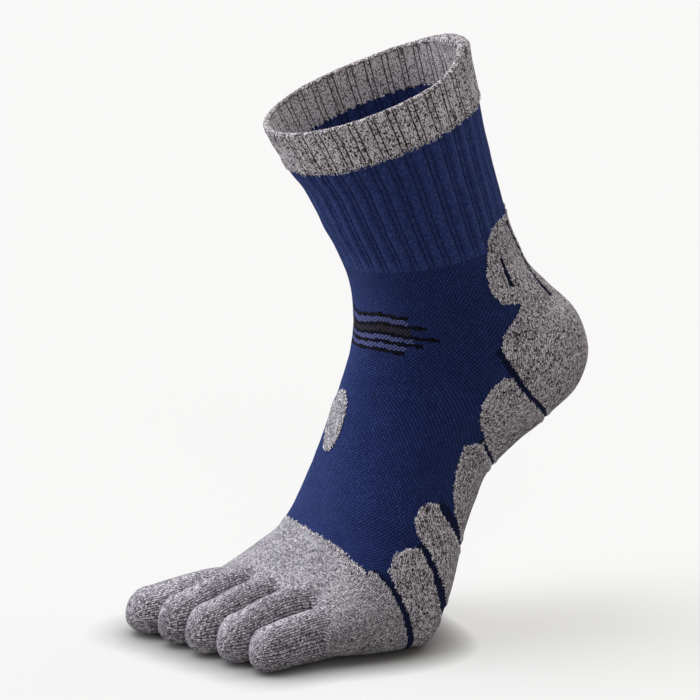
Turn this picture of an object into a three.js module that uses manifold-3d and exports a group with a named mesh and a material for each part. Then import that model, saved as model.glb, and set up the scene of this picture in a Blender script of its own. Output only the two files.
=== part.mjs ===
// A left toe sock, filled out as it is when worn on tiptoe: ribbed leg with a turned welt, foot tube,
// heel pocket, forefoot and five toe pockets, each a hollow knitted wall.
// Millimetres, +Z up, toes towards -Y, the little toe and the outer side of the foot towards +X.
// The tables are drawn on a floor at Z = 0, with Y = 0 where the ball of the foot leaves it. The whole
// sock is then moved so that its origin is the middle of its mouth, where the wearer's leg holds it.
import * as THREE from "three";
import { mergeVertices } from "three/addons/utils/BufferGeometryUtils.js";
import Module from "manifold-3d";

const wasm = await Module();
wasm.setup();

// Knitted walls and seams
const WALL = 1.8;
const WELT_OUTER_STEP = 0.7; // the turned welt stands out from the leg by this much
const WELT_WALL = 3.2; // two layers of cloth
const WELT_FOLD_FLAT = 0.8; // width of the fold's crest
const FOLD_RELIEF = 0.25; // share of the ribs' depth that is left along the crest
const SEAM_GAP = 0.3;

// Ribs of the welt and leg
const RIB_REPEATS = 34;
const RIB_DEPTH = 0.9;
const RIB_FADE_ROWS = 0.35; // the ribs die out over this many rows at the ankle
const RIB_WALL = 2.2; // from the crowns of the ribs to the plain inside
// Places round one repeat, as a share of it, and how deep the cloth lies there, as a share of RIB_DEPTH
const RIB_PROFILE = [
  { at: 0.0, deep: 1.0 },
  { at: 0.12, deep: 0.1 },
  { at: 0.56, deep: 0.1 },
  { at: 0.68, deep: 1.0 },
  { at: 0.84, deep: 0.2 },
];

// Sections of the tube, from the mouth to the toe roots. Each lies in a plane through a front point and a
// back point of the side view; lateral and medial are its half widths, and the two last columns say how
// square its front and its back are, 2 being an ellipse.
const SECTION_COLUMNS = [
  "name", "frontY", "frontZ", "backY", "backZ", "lateral", "medial", "frontSquare", "backSquare",
];
const SECTIONS = [
  ["mouth", -48, 233.5, 42.5, 264.5, 38.5, 34.5, 2.1, 2.1],
  ["welt end", -39, 216, 47, 245.5, 38.5, 37, 2.1, 2.1],
  ["upper leg", -29.5, 202, 51.5, 225, 37.5, 36.5, 2.1, 2.1],
  ["middle leg", -21, 186, 57.5, 203, 35.5, 35.5, 2.1, 2.1],
  ["rib end", -12, 169, 65, 180.5, 34.5, 34, 2.1, 2.0],
  ["ankle", -7.5, 156.5, 72.5, 164.5, 34, 33.5, 2.1, 2.0],
  ["above the heel", -6.3, 146, 84.5, 152, 33.5, 33, 2.1, 2.0],
  ["heel top", -6.6, 137.5, 97.5, 139, 33, 32.5, 2.1, 2.0],
  ["heel back", -8, 129, 104.5, 121, 32.5, 32, 2.1, 2.1],
  ["heel foot", -10.7, 120, 99, 104.5, 32, 31.5, 2.1, 2.2],
  ["heel front", -13.3, 111.5, 85, 92, 32.5, 31.5, 2.1, 2.3],
  ["rear arch", -16.5, 102.5, 68, 82, 33.5, 31.5, 2.1, 2.4],
  ["arch", -20, 91, 51.5, 71.5, 35.5, 32.5, 2.1, 2.5],
  ["middle foot", -24, 79, 43.5, 59, 39, 35, 2.1, 2.5],
  ["rear ball", -28, 67.5, 37.5, 46.5, 42.5, 39, 2.1, 2.5],
  ["ball", -31, 56.5, 29.5, 28, 45.5, 42.5, 2.1, 2.6],
  ["cap edge", -35.5, 48, 12, 1.2, 47, 45, 2.1, 3.6],
  ["front ball", -41, 41, -6, -0.3, 48, 46, 2.2, 4.5],
  ["toe base", -47.5, 35, -25, -0.3, 47.5, 45.5, 2.3, 4.5],
  ["toe knuckle", -54, 29.5, -42, 0.3, 46, 44.5, 2.4, 4.0],
  ["toe root", -60, 25.5, -56, 2, 45, 43.5, 2.6, 3.2],
].map((row) => Object.fromEntries(row.map((value, i) => [SECTION_COLUMNS[i], value])));
const rowOf = (name) => SECTIONS.findIndex((row) => row.name === name);
const MOUTH = rowOf("mouth");
const WELT_END = rowOf("welt end");
const RIB_END = rowOf("rib end");
const CAP_EDGE = rowOf("cap edge");
const TOE_ROOT = rowOf("toe root");
const SLANT_START = rowOf("rear ball"); // from here the sections turn to follow the toe roots

// The toe roots lie on a slanting curve: how far forward a place X mm outwards is
const ROOT_Y = -59;
const rootSlant = (x) => 0.3 * x + 0.0018 * x * x;

// Toe pockets, from the big toe outwards. length runs from the tip back to where the groove beside it starts.
const TOE_COLUMNS = ["name", "tipX", "tipY", "rootX", "length", "halfWidth", "topZ"];
const TOES = [
  ["toe_pocket_1", -32, -106, -31, 41, 11.4, 28],
  ["toe_pocket_2", -12.1, -98, -12, 37, 8.3, 30.5],
  ["toe_pocket_3", 4.6, -92.5, 4.4, 36, 8.2, 30.5],
  ["toe_pocket_4", 21, -84.5, 20.6, 34, 8.1, 29.5],
  ["toe_pocket_5", 37.4, -75.5, 36.4, 31, 8.3, 27.5],
].map((row) => Object.fromEntries(row.map((value, i) => [TOE_COLUMNS[i], value])));
// One profile for all toes, from the tip back: share of the length, underside height in mm, top height as a
// share of topZ, and width as a share of the half width
const TOE_PROFILE = [
  { back: 0.3, under: 0, top: 0.77, wide: 1.0 },
  { back: 0.5, under: 0.5, top: 0.86, wide: 1.0 },
  { back: 0.75, under: 2.0, top: 0.95, wide: 0.98 },
  { back: 1.0, under: 3, top: 1.0, wide: 0.96 },
  { back: 1.3, under: 4, top: 1.0, wide: 0.9 },
  { back: 1.6, under: 7, top: 0.85, wide: 0.8 },
];
const TOE_ROUND_END = 0.3; // share of the length over which the tip rounds off
const TOE_TIP_START = 0.06; // share of that rounding at which the first ring stands
const TOE_TIP_DROP = 1.5; // how much lower than its middle the tip ends
const TOE_SQUARE = 2.3;

// Outline of the heel pocket in the side view, from the top of its back strip down to the sole
const HEEL_OUTLINE = [
  { y: 66, z: 198 }, { y: 56, z: 190 }, { y: 48, z: 188 }, { y: 43, z: 185 }, { y: 41, z: 176 },
  { y: 40, z: 167 }, { y: 42, z: 159 }, { y: 48, z: 153 }, { y: 59, z: 151 }, { y: 57, z: 148 },
  { y: 52, z: 142 }, { y: 48, z: 136 }, { y: 48.5, z: 131 }, { y: 60, z: 114 }, { y: 76, z: 97 },
  { y: 100, z: 70 }, { y: 140, z: 100 }, { y: 120, z: 200 },
];

// How finely the walls are cut into faces
const TUBE_POINTS = 48;
const TUBE_INNER_POINTS = 28;
const RIB_INNER_POINTS = RIB_REPEATS;
const TOE_POINTS = 18;
const TOE_INNER_POINTS = 12;
const RINGS_PER_ROW = 2;

// Catmull-Rom value of one column of a table, at a place between its rows
function between(rows, column, place) {
  const last = rows.length - 1;
  const start = Math.min(Math.max(Math.floor(place), 0), last - 1);
  const t = place - start;
  const [p0, p1, p2, p3] = [start - 1, start, start + 1, start + 2].map(
    (i) => rows[Math.min(Math.max(i, 0), last)][column],
  );
  const curve = 2 * p1 + (p2 - p0) * t + (2 * p0 - 5 * p1 + 4 * p2 - p3) * t * t
    + (3 * p1 - p0 - 3 * p2 + p3) * t * t * t;
  return curve / 2;
}

const power = (value, exponent) => Math.sign(value) * Math.abs(value) ** exponent;

// The closed ring of the tube at one row. turn runs from 0 at the front past the outer side; inset moves
// the ring inwards, and shift moves it along the leg or foot, towards the toes.
function tubeRing(row, turns, inset = 0, shift = 0, relief = () => 0) {
  const at = (column) => between(SECTIONS, column, row);
  const front = new THREE.Vector2(at("frontY"), at("frontZ"));
  const back = new THREE.Vector2(at("backY"), at("backZ"));
  const middle = front.clone().add(back).multiplyScalar(0.5);
  const toFront = front.clone().sub(back).normalize();
  const along = new THREE.Vector2(-toFront.y, toFront.x).multiplyScalar(shift);
  const deep = front.distanceTo(back) / 2 - inset;
  const slant = THREE.MathUtils.clamp((row - SLANT_START) / (TOE_ROOT - SLANT_START), 0, 1);
  return turns.map((turn) => {
    const c = Math.cos(turn);
    const s = Math.sin(turn);
    const square = c > 0 ? at("frontSquare") : at("backSquare");
    const half = (s > 0 ? at("lateral") : at("medial")) - inset;
    const out = relief(turn, row);
    const x = power(s, 2 / square) * (half + out);
    const h = power(c, 2 / square) * (deep + out);
    return new THREE.Vector3(
      x,
      middle.x + toFront.x * h + along.x + slant * rootSlant(x),
      Math.max(middle.y + toFront.y * h + along.y, inset),
    );
  });
}

const evenTurns = (count) => Array.from({ length: count }, (_, i) => (2 * Math.PI * i) / count);
const ribTurns = Array.from({ length: RIB_REPEATS }, (_, i) =>
  RIB_PROFILE.map(({ at }) => (2 * Math.PI * (i + at)) / RIB_REPEATS),
).flat();

// How far the cloth lies below the crowns of the ribs at one of the ribTurns
function ribRelief(turn, row) {
  const share = ((turn * RIB_REPEATS) / (2 * Math.PI)) % 1;
  const nearest = RIB_PROFILE.reduce((a, b) => (Math.abs(a.at - share) < Math.abs(b.at - share) ? a : b));
  const fade = THREE.MathUtils.smoothstep(RIB_END - row, 0, RIB_FADE_ROWS);
  return -RIB_DEPTH * nearest.deep * fade;
}

// A solid lofted through closed rings of equal counts, its two ends capped by fans
function loft(rings) {
  const count = rings[0].length;
  const points = rings.flat();
  const faces = [];
  for (let r = 0; r + 1 < rings.length; r++)
    for (let i = 0; i < count; i++) {
      const a = r * count + i;
      const b = r * count + ((i + 1) % count);
      faces.push(a, a + count, b, b, a + count, b + count);
    }
  for (const [ring, first, forwards] of [
    [rings[0], 0, true],
    [rings.at(-1), (rings.length - 1) * count, false],
  ]) {
    const centre = points.length;
    points.push(ring.reduce((sum, p) => sum.add(p), new THREE.Vector3()).divideScalar(count));
    for (let i = 0; i < count; i++) {
      const [a, b] = [first + i, first + ((i + 1) % count)];
      faces.push(...(forwards ? [centre, a, b] : [centre, b, a]));
    }
  }
  const geometry = new THREE.BufferGeometry().setFromPoints(points).setIndex(faces);
  return solidOf(geometry);
}

// A closed geometry as a solid, whichever way round its faces were
function solidOf(geometry) {
  geometry.deleteAttribute("normal");
  geometry.deleteAttribute("uv");
  const merged = mergeVertices(geometry, 1e-4);
  const vertProperties = merged.attributes.position.array;
  const triVerts = new Uint32Array(merged.index.array);
  const solid = new wasm.Manifold(new wasm.Mesh({ numProp: 3, vertProperties, triVerts }));
  if (solid.volume() > 0) return solid;
  for (let i = 0; i < triVerts.length; i += 3)
    [triVerts[i + 1], triVerts[i + 2]] = [triVerts[i + 2], triVerts[i + 1]];
  return new wasm.Manifold(new wasm.Mesh({ numProp: 3, vertProperties, triVerts }));
}

function geometryOf(solid) {
  const { numProp, numVert, vertProperties, triVerts } = solid.getMesh();
  const position = new Float32Array(numVert * 3);
  for (let i = 0; i < numVert; i++)
    position.set(vertProperties.subarray(i * numProp, i * numProp + 3), i * 3);
  const geometry = new THREE.BufferGeometry();
  geometry.setAttribute("position", new THREE.BufferAttribute(position, 3));
  geometry.setIndex(new THREE.BufferAttribute(new Uint32Array(triVerts), 1));
  geometry.computeVertexNormals();
  return geometry;
}

// Rows from one place to another, with the rows of the table between them
function rowsFrom(first, last, perRow) {
  const steps = Math.max(1, Math.round((last - first) * perRow));
  return Array.from({ length: steps + 1 }, (_, i) => first + ((last - first) * i) / steps);
}

// The stretch of plain tube between two rows, as a solid lump: its ends stand half a seam gap short
function tubeLump(first, last, points, inset, reach) {
  const turns = evenTurns(points);
  const rows = rowsFrom(first, last, RINGS_PER_ROW);
  return loft(rows.map((row, i) => {
    const shift = i === 0 ? -reach : i === rows.length - 1 ? reach : 0;
    return tubeRing(row, turns, inset, shift);
  }));
}

const END_SHORT = -SEAM_GAP / 2; // an outer lump stops short of the seam
const END_THROUGH = 3; // an inner lump runs past it, so that the tube is open

// The turned welt: a doubled band, rounded over along its upper edge, where its ribs are shallow
function weltSolid() {
  const inside = WELT_WALL - WELT_OUTER_STEP;
  const halfFold = WELT_WALL / 2 - WELT_FOLD_FLAT / 2;
  const shoulder = { down: halfFold * 0.3, in: halfFold * 0.3 };
  const below = halfFold * 1.2;
  const shallowRelief = (turn, row) => FOLD_RELIEF * ribRelief(turn, row);
  const outer = loft([
    tubeRing(MOUTH, ribTurns, halfFold - WELT_OUTER_STEP, 0, shallowRelief),
    tubeRing(MOUTH, ribTurns, shoulder.in - WELT_OUTER_STEP, shoulder.down, ribRelief),
    tubeRing(MOUTH, ribTurns, -WELT_OUTER_STEP, below, ribRelief),
    tubeRing(WELT_END, ribTurns, -WELT_OUTER_STEP, END_SHORT - WELT_OUTER_STEP * 2, ribRelief),
    tubeRing(WELT_END, ribTurns, 0, END_SHORT, ribRelief),
  ]);
  const turns = evenTurns(RIB_INNER_POINTS);
  const inner = loft([
    tubeRing(MOUTH, turns, inside - halfFold, -END_THROUGH),
    tubeRing(MOUTH, turns, inside - halfFold, 0),
    tubeRing(MOUTH, turns, inside - shoulder.in, shoulder.down),
    tubeRing(MOUTH, turns, inside, below),
    tubeRing(WELT_END, turns, inside, END_SHORT),
    tubeRing(WELT_END, turns, inside, END_THROUGH),
  ]);
  return outer.subtract(inner);
}

// The ribbed leg, its ribs raised outside over a plain inside
function legSolid() {
  const [upperLeg, middleLeg] = [rowOf("upper leg"), rowOf("middle leg")];
  const outerRows = [WELT_END, upperLeg, middleLeg, RIB_END - RIB_FADE_ROWS, RIB_END];
  const outer = loft(outerRows.map((row, i) => {
    const shift = i === 0 ? -END_SHORT : i === outerRows.length - 1 ? END_SHORT : 0;
    return tubeRing(row, ribTurns, 0, shift, ribRelief);
  }));
  const turns = evenTurns(RIB_INNER_POINTS);
  const innerRows = [WELT_END, WELT_END, upperLeg, middleLeg, RIB_END, RIB_END];
  const inner = loft(innerRows.map((row, i) => {
    const shift = i === 0 ? -END_THROUGH : i === innerRows.length - 1 ? END_THROUGH : 0;
    return tubeRing(row, turns, RIB_WALL, shift);
  }));
  return outer.subtract(inner);
}

// The plain wall from one row of the table to another
function tubeWall(first, last) {
  const outer = tubeLump(first, last, TUBE_POINTS, 0, END_SHORT);
  const inner = tubeLump(first, last, TUBE_INNER_POINTS, WALL, END_THROUGH);
  return outer.subtract(inner);
}

// A closed outline, given anticlockwise, with its edges moved outwards by a margin and its corners kept
function grown(outline, margin) {
  const count = outline.length;
  const outwards = (a, b) => new THREE.Vector2(b.y - a.y, a.x - b.x).normalize();
  return outline.map((p, i) => {
    const before = outwards(outline[(i + count - 1) % count], p);
    const after = outwards(p, outline[(i + 1) % count]);
    const corner = before.clone().add(after).normalize();
    return p.clone().addScaledVector(corner, margin / corner.dot(after));
  });
}

// A block through the whole foot with the heel pocket's outline, its edges moved outwards by a margin
function heelBlock(margin) {
  const outline = HEEL_OUTLINE.map(({ y, z }) => new THREE.Vector2(y, z));
  const shape = new THREE.Shape(grown(outline, margin));
  const across = 100;
  const block = new THREE.ExtrudeGeometry(shape, { depth: across, bevelEnabled: false });
  block.translate(0, 0, -across / 2);
  // The shape's own X, Y and depth become the sock's Y, Z and X
  block.applyMatrix4(new THREE.Matrix4().makeBasis(
    new THREE.Vector3(0, 1, 0), new THREE.Vector3(0, 0, 1), new THREE.Vector3(1, 0, 0),
  ));
  return solidOf(block);
}

// One toe as a solid lump, its rings square to its run, moved inwards by inset
function toeLump(toe, points, inset) {
  const turns = evenTurns(points);
  const roundSteps = 4;
  const stations = [];
  for (let i = 0; i <= roundSteps; i++) {
    const angle = THREE.MathUtils.lerp(TOE_TIP_START, 1, i / roundSteps) * (Math.PI / 2);
    const back = TOE_ROUND_END * (1 - Math.cos(angle));
    stations.push({ back, size: Math.sin(angle) });
  }
  for (const { back } of TOE_PROFILE.slice(1)) stations.push({ back, size: 1 });
  return loft(stations.map(({ back, size }) => {
    const place = profilePlace(back);
    const under = between(TOE_PROFILE, "under", place) + inset;
    const top = between(TOE_PROFILE, "top", place) * toe.topZ - inset;
    const half = between(TOE_PROFILE, "wide", place) * toe.halfWidth - inset;
    const middleZ = (under + top) / 2 - (1 - size) * TOE_TIP_DROP;
    const tall = ((top - under) / 2) * size;
    const wide = half * size;
    const middleX = THREE.MathUtils.lerp(toe.tipX, toe.rootX, back);
    const y = toe.tipY + inset * Math.max(1 - back, 0) + back * toe.length;
    return turns.map((turn) => new THREE.Vector3(
      middleX + wide * power(Math.sin(turn), 2 / TOE_SQUARE),
      y,
      Math.max(middleZ + tall * power(Math.cos(turn), 2 / TOE_SQUARE), inset),
    ));
  }));
}

// Where a share of the toe's length falls between the rows of TOE_PROFILE
function profilePlace(back) {
  const i = TOE_PROFILE.findIndex((row) => row.back >= back);
  if (i <= 0) return 0;
  const [a, b] = [TOE_PROFILE[i - 1].back, TOE_PROFILE[i].back];
  return i - 1 + (back - a) / (b - a);
}

// The forefoot as a solid lump. reach moves its rear end as in tubeLump, and front its toe end.
function forefootLump(points, inset, reach, front) {
  const turns = evenTurns(points);
  const rows = rowsFrom(CAP_EDGE, TOE_ROOT, RINGS_PER_ROW);
  return loft(rows.map((row, i) => {
    const shift = i === 0 ? -reach : i === rows.length - 1 ? front : 0;
    return tubeRing(row, turns, inset, shift);
  }));
}

// A block taller than the toes over a plan outline given as X and Y
function planBlock(outline) {
  const [below, tall] = [-20, 100];
  const block = new THREE.ExtrudeGeometry(new THREE.Shape(outline), { depth: tall, bevelEnabled: false });
  block.translate(0, 0, below);
  return solidOf(block);
}

// Everything ahead of the toe roots, or behind them when side is 1, half a seam gap clear of them
function besideRoots(side) {
  const [firstX, stepX, count, farY] = [-60, 5, 25, 150];
  const xs = Array.from({ length: count }, (_, i) => firstX + stepX * i);
  const edge = xs.map((x) => new THREE.Vector2(x, ROOT_Y + rootSlant(x) + (side * SEAM_GAP) / 2));
  const far = [new THREE.Vector2(xs.at(-1), side * farY), new THREE.Vector2(xs[0], side * farY)];
  return planBlock([...edge, ...far]);
}

// The strip of the plan that belongs to one toe, half a seam gap clear of its neighbours' strips
function toeStrip(index) {
  const [tipY, rootY, farX] = [-130, -20, 90];
  const parting = (a, b, end) => {
    if (!a || !b) return a ? farX : -farX;
    return (a[end] + a.halfWidth + b[end] - b.halfWidth) / 2;
  };
  const side = (a, b, inwards) => [
    new THREE.Vector2(parting(a, b, "tipX") + inwards, tipY),
    new THREE.Vector2(parting(a, b, "rootX") + inwards, rootY),
  ];
  const toe = TOES[index];
  const medial = side(TOES[index - 1], toe, SEAM_GAP / 2);
  const lateral = side(toe, TOES[index + 1], -SEAM_GAP / 2);
  return planBlock([...medial, ...lateral.reverse()]);
}

// The forefoot, and the five toe pockets sewn to its front edge
function toeSection() {
  const join = (lumps) => lumps.reduce((sum, lump) => sum.add(lump));
  const hollow = join([
    forefootLump(TUBE_INNER_POINTS, WALL, END_THROUGH, -WALL),
    ...TOES.map((toe) => toeLump(toe, TOE_INNER_POINTS, WALL)),
  ]);
  const toeLumps = TOES.map((toe) => toeLump(toe, TOE_POINTS, 0));
  const forefoot = join([forefootLump(TUBE_POINTS, 0, END_SHORT, WALL), ...toeLumps])
    .intersect(besideRoots(1)).subtract(hollow);
  const ahead = besideRoots(-1);
  const pockets = toeLumps.map((lump, i) => lump.intersect(toeStrip(i)).intersect(ahead).subtract(hollow));
  return { forefoot, pockets };
}

// Colours of the yarns, and the cloth's finish
const navyCloth = () => new THREE.MeshStandardMaterial({ color: 0x1d2c5e, roughness: 0.85, metalness: 0 });
const greyCloth = () => new THREE.MeshStandardMaterial({ color: 0x8d8a90, roughness: 0.95, metalness: 0 });

const mouth = SECTIONS[MOUTH];
const sock = new THREE.Group();
sock.name = "toe_sock";
sock.position.set(0, -(mouth.frontY + mouth.backY) / 2, -(mouth.frontZ + mouth.backZ) / 2);

function addPiece(name, solid, material) {
  const mesh = new THREE.Mesh(geometryOf(solid), material);
  mesh.name = name;
  sock.add(mesh);
}

const aroundHeel = heelBlock(SEAM_GAP);
addPiece("cuff_welt", weltSolid(), greyCloth());
addPiece("rib_leg", legSolid().subtract(aroundHeel), navyCloth());
addPiece("foot_tube", tubeWall(RIB_END, CAP_EDGE).subtract(aroundHeel), navyCloth());
const heelWall = tubeWall(rowOf("middle leg"), rowOf("middle foot"));
addPiece("heel_pocket", heelWall.intersect(heelBlock(0)), greyCloth());

const { forefoot, pockets } = toeSection();
addPiece("forefoot", forefoot, greyCloth());
TOES.forEach((toe, i) => addPiece(toe.name, pockets[i], greyCloth()));

export default sock;
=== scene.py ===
import bpy
import numpy as np
from mathutils import Matrix
from mathutils.kdtree import KDTree


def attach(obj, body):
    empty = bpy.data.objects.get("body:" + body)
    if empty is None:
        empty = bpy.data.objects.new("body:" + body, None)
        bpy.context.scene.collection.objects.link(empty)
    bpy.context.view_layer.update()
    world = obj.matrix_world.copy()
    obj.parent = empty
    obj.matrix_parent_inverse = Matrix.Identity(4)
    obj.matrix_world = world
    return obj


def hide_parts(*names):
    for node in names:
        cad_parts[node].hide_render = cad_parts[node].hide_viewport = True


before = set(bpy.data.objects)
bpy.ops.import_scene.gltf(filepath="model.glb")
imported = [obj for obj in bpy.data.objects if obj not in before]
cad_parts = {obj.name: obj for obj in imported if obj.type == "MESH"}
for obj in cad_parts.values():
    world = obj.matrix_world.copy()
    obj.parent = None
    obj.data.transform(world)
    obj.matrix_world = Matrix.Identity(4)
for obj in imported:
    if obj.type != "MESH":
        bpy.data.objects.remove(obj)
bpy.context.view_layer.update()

MM = 0.001
ORIGIN = np.array([0.0, 2.75, -249.0])
SEED = 7
TINY = 1e-9  # the least length that anything is divided by

# Sections of the tube, from the mouth to the toe roots: the front and back points of the side view, the
# half widths outwards and inwards, and how square the front and the back are.
SECTIONS = np.array([
    [-49, 233.5, 42.5, 264.5, 38.5, 34.5, 2.1, 2.1],  # mouth
    [-39, 216, 47, 245.5, 38.5, 37, 2.1, 2.1],  # welt end
    [-29.5, 202, 51.5, 225, 37.5, 36.5, 2.1, 2.1],  # upper leg
    [-21, 186, 57.5, 203, 35.5, 35.5, 2.1, 2.1],  # middle leg
    [-12, 169, 65, 180.5, 34.5, 34, 2.1, 2.0],  # rib end
    [-7.5, 156.5, 72.5, 164.5, 34, 33.5, 2.1, 2.0],  # ankle
    [-6.3, 146, 84.5, 152, 33.5, 33, 2.1, 2.0],  # above the heel
    [-6.6, 137.5, 97.5, 139, 33, 32.5, 2.1, 2.0],  # heel top
    [-8, 129, 104.5, 121, 32.5, 32, 2.1, 2.1],  # heel back
    [-10.7, 120, 99, 104.5, 32, 31.5, 2.1, 2.2],  # heel foot
    [-13.3, 111.5, 84, 93, 32.5, 31.5, 2.1, 2.3],  # heel front
    [-16.5, 102.5, 67.2, 83.2, 33.5, 31.5, 2.1, 2.4],  # rear arch
    [-20, 91, 51.5, 71.5, 35.5, 32.5, 2.1, 2.5],  # arch
    [-24, 79, 43.5, 59, 39, 35, 2.1, 2.5],  # middle foot
    [-28, 67.5, 37.5, 46.5, 42.5, 39, 2.1, 2.5],  # rear ball
    [-31, 56.5, 29.5, 28, 45.5, 42.5, 2.1, 2.6],  # ball
    [-35.5, 48, 12, 1.2, 47, 45, 2.1, 3.6],  # cap edge
    [-41, 41, -6, -0.3, 48, 46, 2.2, 4.5],  # front ball
    [-47.5, 34.3, -25, -0.3, 47.5, 45.5, 2.3, 4.5],  # toe base
    [-54, 28.3, -42, 0.2, 46, 44.5, 2.4, 4.0],  # toe knuckle
    [-60, 24, -56, 1, 45, 43.5, 2.6, 3.2],  # toe root
])
MOUTH = 0
WELT_END = 1
RIB_END = 4
SLANT_START = 14
CAP_EDGE = 16
TOE_ROOT = 20
ROOT_Y = -59
ROOT_SLANT, ROOT_BEND = 0.3, 0.0018  # of the line of the toe roots

# Toe pockets from the big toe outwards: tip X, tip Y, root X, length, half width, height of the top, and
# how much blunter than the second toe the toe is
TOES = np.array([
    [-32, -105.4, -31, 41, 11.4, 25, 0.3],
    [-12.1, -98, -12, 37, 8.3, 30.5, 0],
    [4.6, -91.6, 4.4, 35.5, 8.2, 30.5, 0],
    [21, -83.4, 20.6, 33, 8.1, 29.5, 0],
    [37.4, -74.9, 36.4, 31, 8.3, 24.5, 0.35],
])
# One profile for all toes, from the tip back: share of the length, underside, share of the top, of the width
TOE_PROFILE = np.array([
    [0.3, 0, 0.77, 1.0],
    [0.5, 0.5, 0.86, 1.0],
    [0.75, 1.2, 0.96, 0.96],
    [1.0, 1.5, 1.03, 0.9],
    [1.3, 2.5, 1.01, 0.84],
    [1.6, 7, 0.85, 0.76],
])
TOE_TIP_DROP = 3.0
TOE_TIP_RING = 0.05  # share of the tip's quarter turn at which its first ring lies
TOE_ROUND_END = 0.3
TOE_SQUARE = 2.3

# One rib repeat has eight stitches: a wide rib, a groove, a narrow rib and a groove
RIB_REPEATS = 34
RIB_STITCHES = 8
RIB_PLACES = np.array([0.0, 0.10, 0.22, 0.34, 0.46, 0.58, 0.68, 0.84])
RIB_DEEP = np.array([1.0, 0.25, 0.04, 0.0, 0.04, 0.25, 1.0, 0.15])
RIB_DEPTH = 0.9
RIB_FADE_ROWS = 0.35
COLUMNS = RIB_REPEATS * RIB_STITCHES
EVEN_ROWS = 5  # the wales even out over so many rows below the ribs
COURSE = 1.0  # height of one course of stitches
FINE_ROWS, FINE_TURNS = 600, 2401  # steps that lengths are measured in
SIDE_TURNS = np.arange(4) * np.pi / 2 + 0.2
LEG_WALL = 2.2
FOOT_WALL = 1.8
WELT_STEP = 0.7
WELT_DEEP = 3.2
WELT_CLOTH = 1.3

# Places in the side view, as Y and Z
HEEL_OUTLINE = [
    (66, 198), (56, 190), (48, 188), (43, 185), (41, 176), (40, 167), (42, 159), (48, 153), (59, 151),
    (57, 148), (52, 142), (48, 136), (48.5, 131), (60, 114), (76, 97), (100, 70), (140, 100), (120, 200),
]
HEEL_IN_RIBS = 1  # rows by which the heel may reach up into the ribs
HEEL_GORE = [(48.5, 131), (60, 114), (76, 97), (100, 70)]
HEEL_SLITS = [[(49, 172), (54, 160)], [(57, 186), (62, 177), (67, 167), (73, 157), (79, 150)]]
PADS = [
    [(50, 119), (43, 114), (39, 108), (38, 102), (40, 91), (45, 83), (52, 70), (100, 70), (60, 116)],
    [(34, 90), (30, 90), (26, 82), (23, 72), (23, 63), (26, 54), (33, 40), (60, 50), (52, 72), (40, 90)],
    [
        (10, 68), (5, 66), (2, 61), (3, 55), (7.5, 48), (15, 32), (19.5, 18), (45, 20), (30, 45), (19, 61),
        (14, 67),
    ],
    [
        (-2, 50), (-8, 48), (-11, 41), (-8.8, 32), (-3.8, 20), (-1.6, 9), (-0.6, -2), (25, -5), (14, 24),
        (9, 40), (4, 49),
    ],
]
PAD_LINES = [
    [(40, 89), (43, 84), (46, 80), (54, 68)],
    [(16, 64), (20, 58), (27, 47), (36, 33)],
    [(5, 48), (10, 38), (14, 23), (19, 6)],
]
LINE_HALF = 1.1
GAP_HALF = 3.4  # what is navy between two pads so near to their line is dark
SLIT_HALF = 1.35
SLIT_LEAST = 0.4  # share of its width that a slit keeps where the heel turns away
GORE_HALF = 2.9
# Edge of the toe cap low on its sides, and how far behind it the dark line reaches
CAP_SIDE_EDGE = [(-30, 46), (-16, 39), (-10, 30), (-6, 20), (-4, 11), (-3, 0)]
CAP_LINE_WIDE = 3.2
# The cap's edge over the instep: its row at two turns from the front, and how far single stitches stray
CAP_FRONT_TURNS, CAP_FRONT_ROWS = (0.5, 1.3), (15.55, 16.1)
CAP_STRAY_ROWS = 0.07
FRONT_TURN, SIDE_TURN = 0.5, 1  # where the front ends and where the sides start
# Bars across the front of the ankle: their rows at the front, at the middle turn and at their ends, and
# the turns of the ends
BARS = [
    (5.93, 5.68, 5.83, 0.79),
    (6.43, 6.10, 6.33, 0.98),
    (6.83, 6.60, 6.95, 1.07),
    (7.23, 7.03, 7.23, 0.91),
    (7.60, 7.48, 7.58, 0.72),
]
BAR_MIDDLE_TURN = 0.43
BAR_HALF = 0.09
DOTS_END_TURN = 0.8
DUSK_GROUND = 1  # the ground below the second bar is nearly as dark as the bars
INSTEP_PAD = (98.5, 13.5, 7.2)  # height of its middle, half length and half width
PAD_RAISE = 0.45
SOFT_DEPTH, SOFT_CELLS = 0.22, (30, 26)  # slight unevenness of the cloth
LINE_SUNK = 0.25
EDGE_FADE_ROWS = 0.8  # relief on the foot fades out over so many rows before the cap edge
TUCK_ROWS, TUCK_DEEP = 0.12, 0.35  # how far the toe cap's edge reaches under the foot's last course


def between(table, places):
    """Catmull-Rom values of a table's columns at places between its rows."""
    last = len(table) - 1
    start = np.clip(np.floor(places).astype(int), 0, last - 1)
    t = (places - start)[..., None]
    p0, p1, p2, p3 = (table[np.clip(start + k, 0, last)] for k in (-1, 0, 1, 2))
    curve = 2 * p1 + (p2 - p0) * t + (2 * p0 - 5 * p1 + 4 * p2 - p3) * t**2
    return (curve + (3 * p1 - p0 - 3 * p2 + p3) * t**3) / 2


def eased(t):
    """A share from 0 to 1 that starts and ends softly."""
    return t * t * (3 - 2 * t)


def signed_power(value, exponent):
    """A power that keeps the sign of its value."""
    return np.sign(value) * np.abs(value) ** exponent


def root_slant(x):
    """How far forward the line of the toe roots lies at a place X outwards."""
    return ROOT_SLANT * x + ROOT_BEND * x * x


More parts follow.
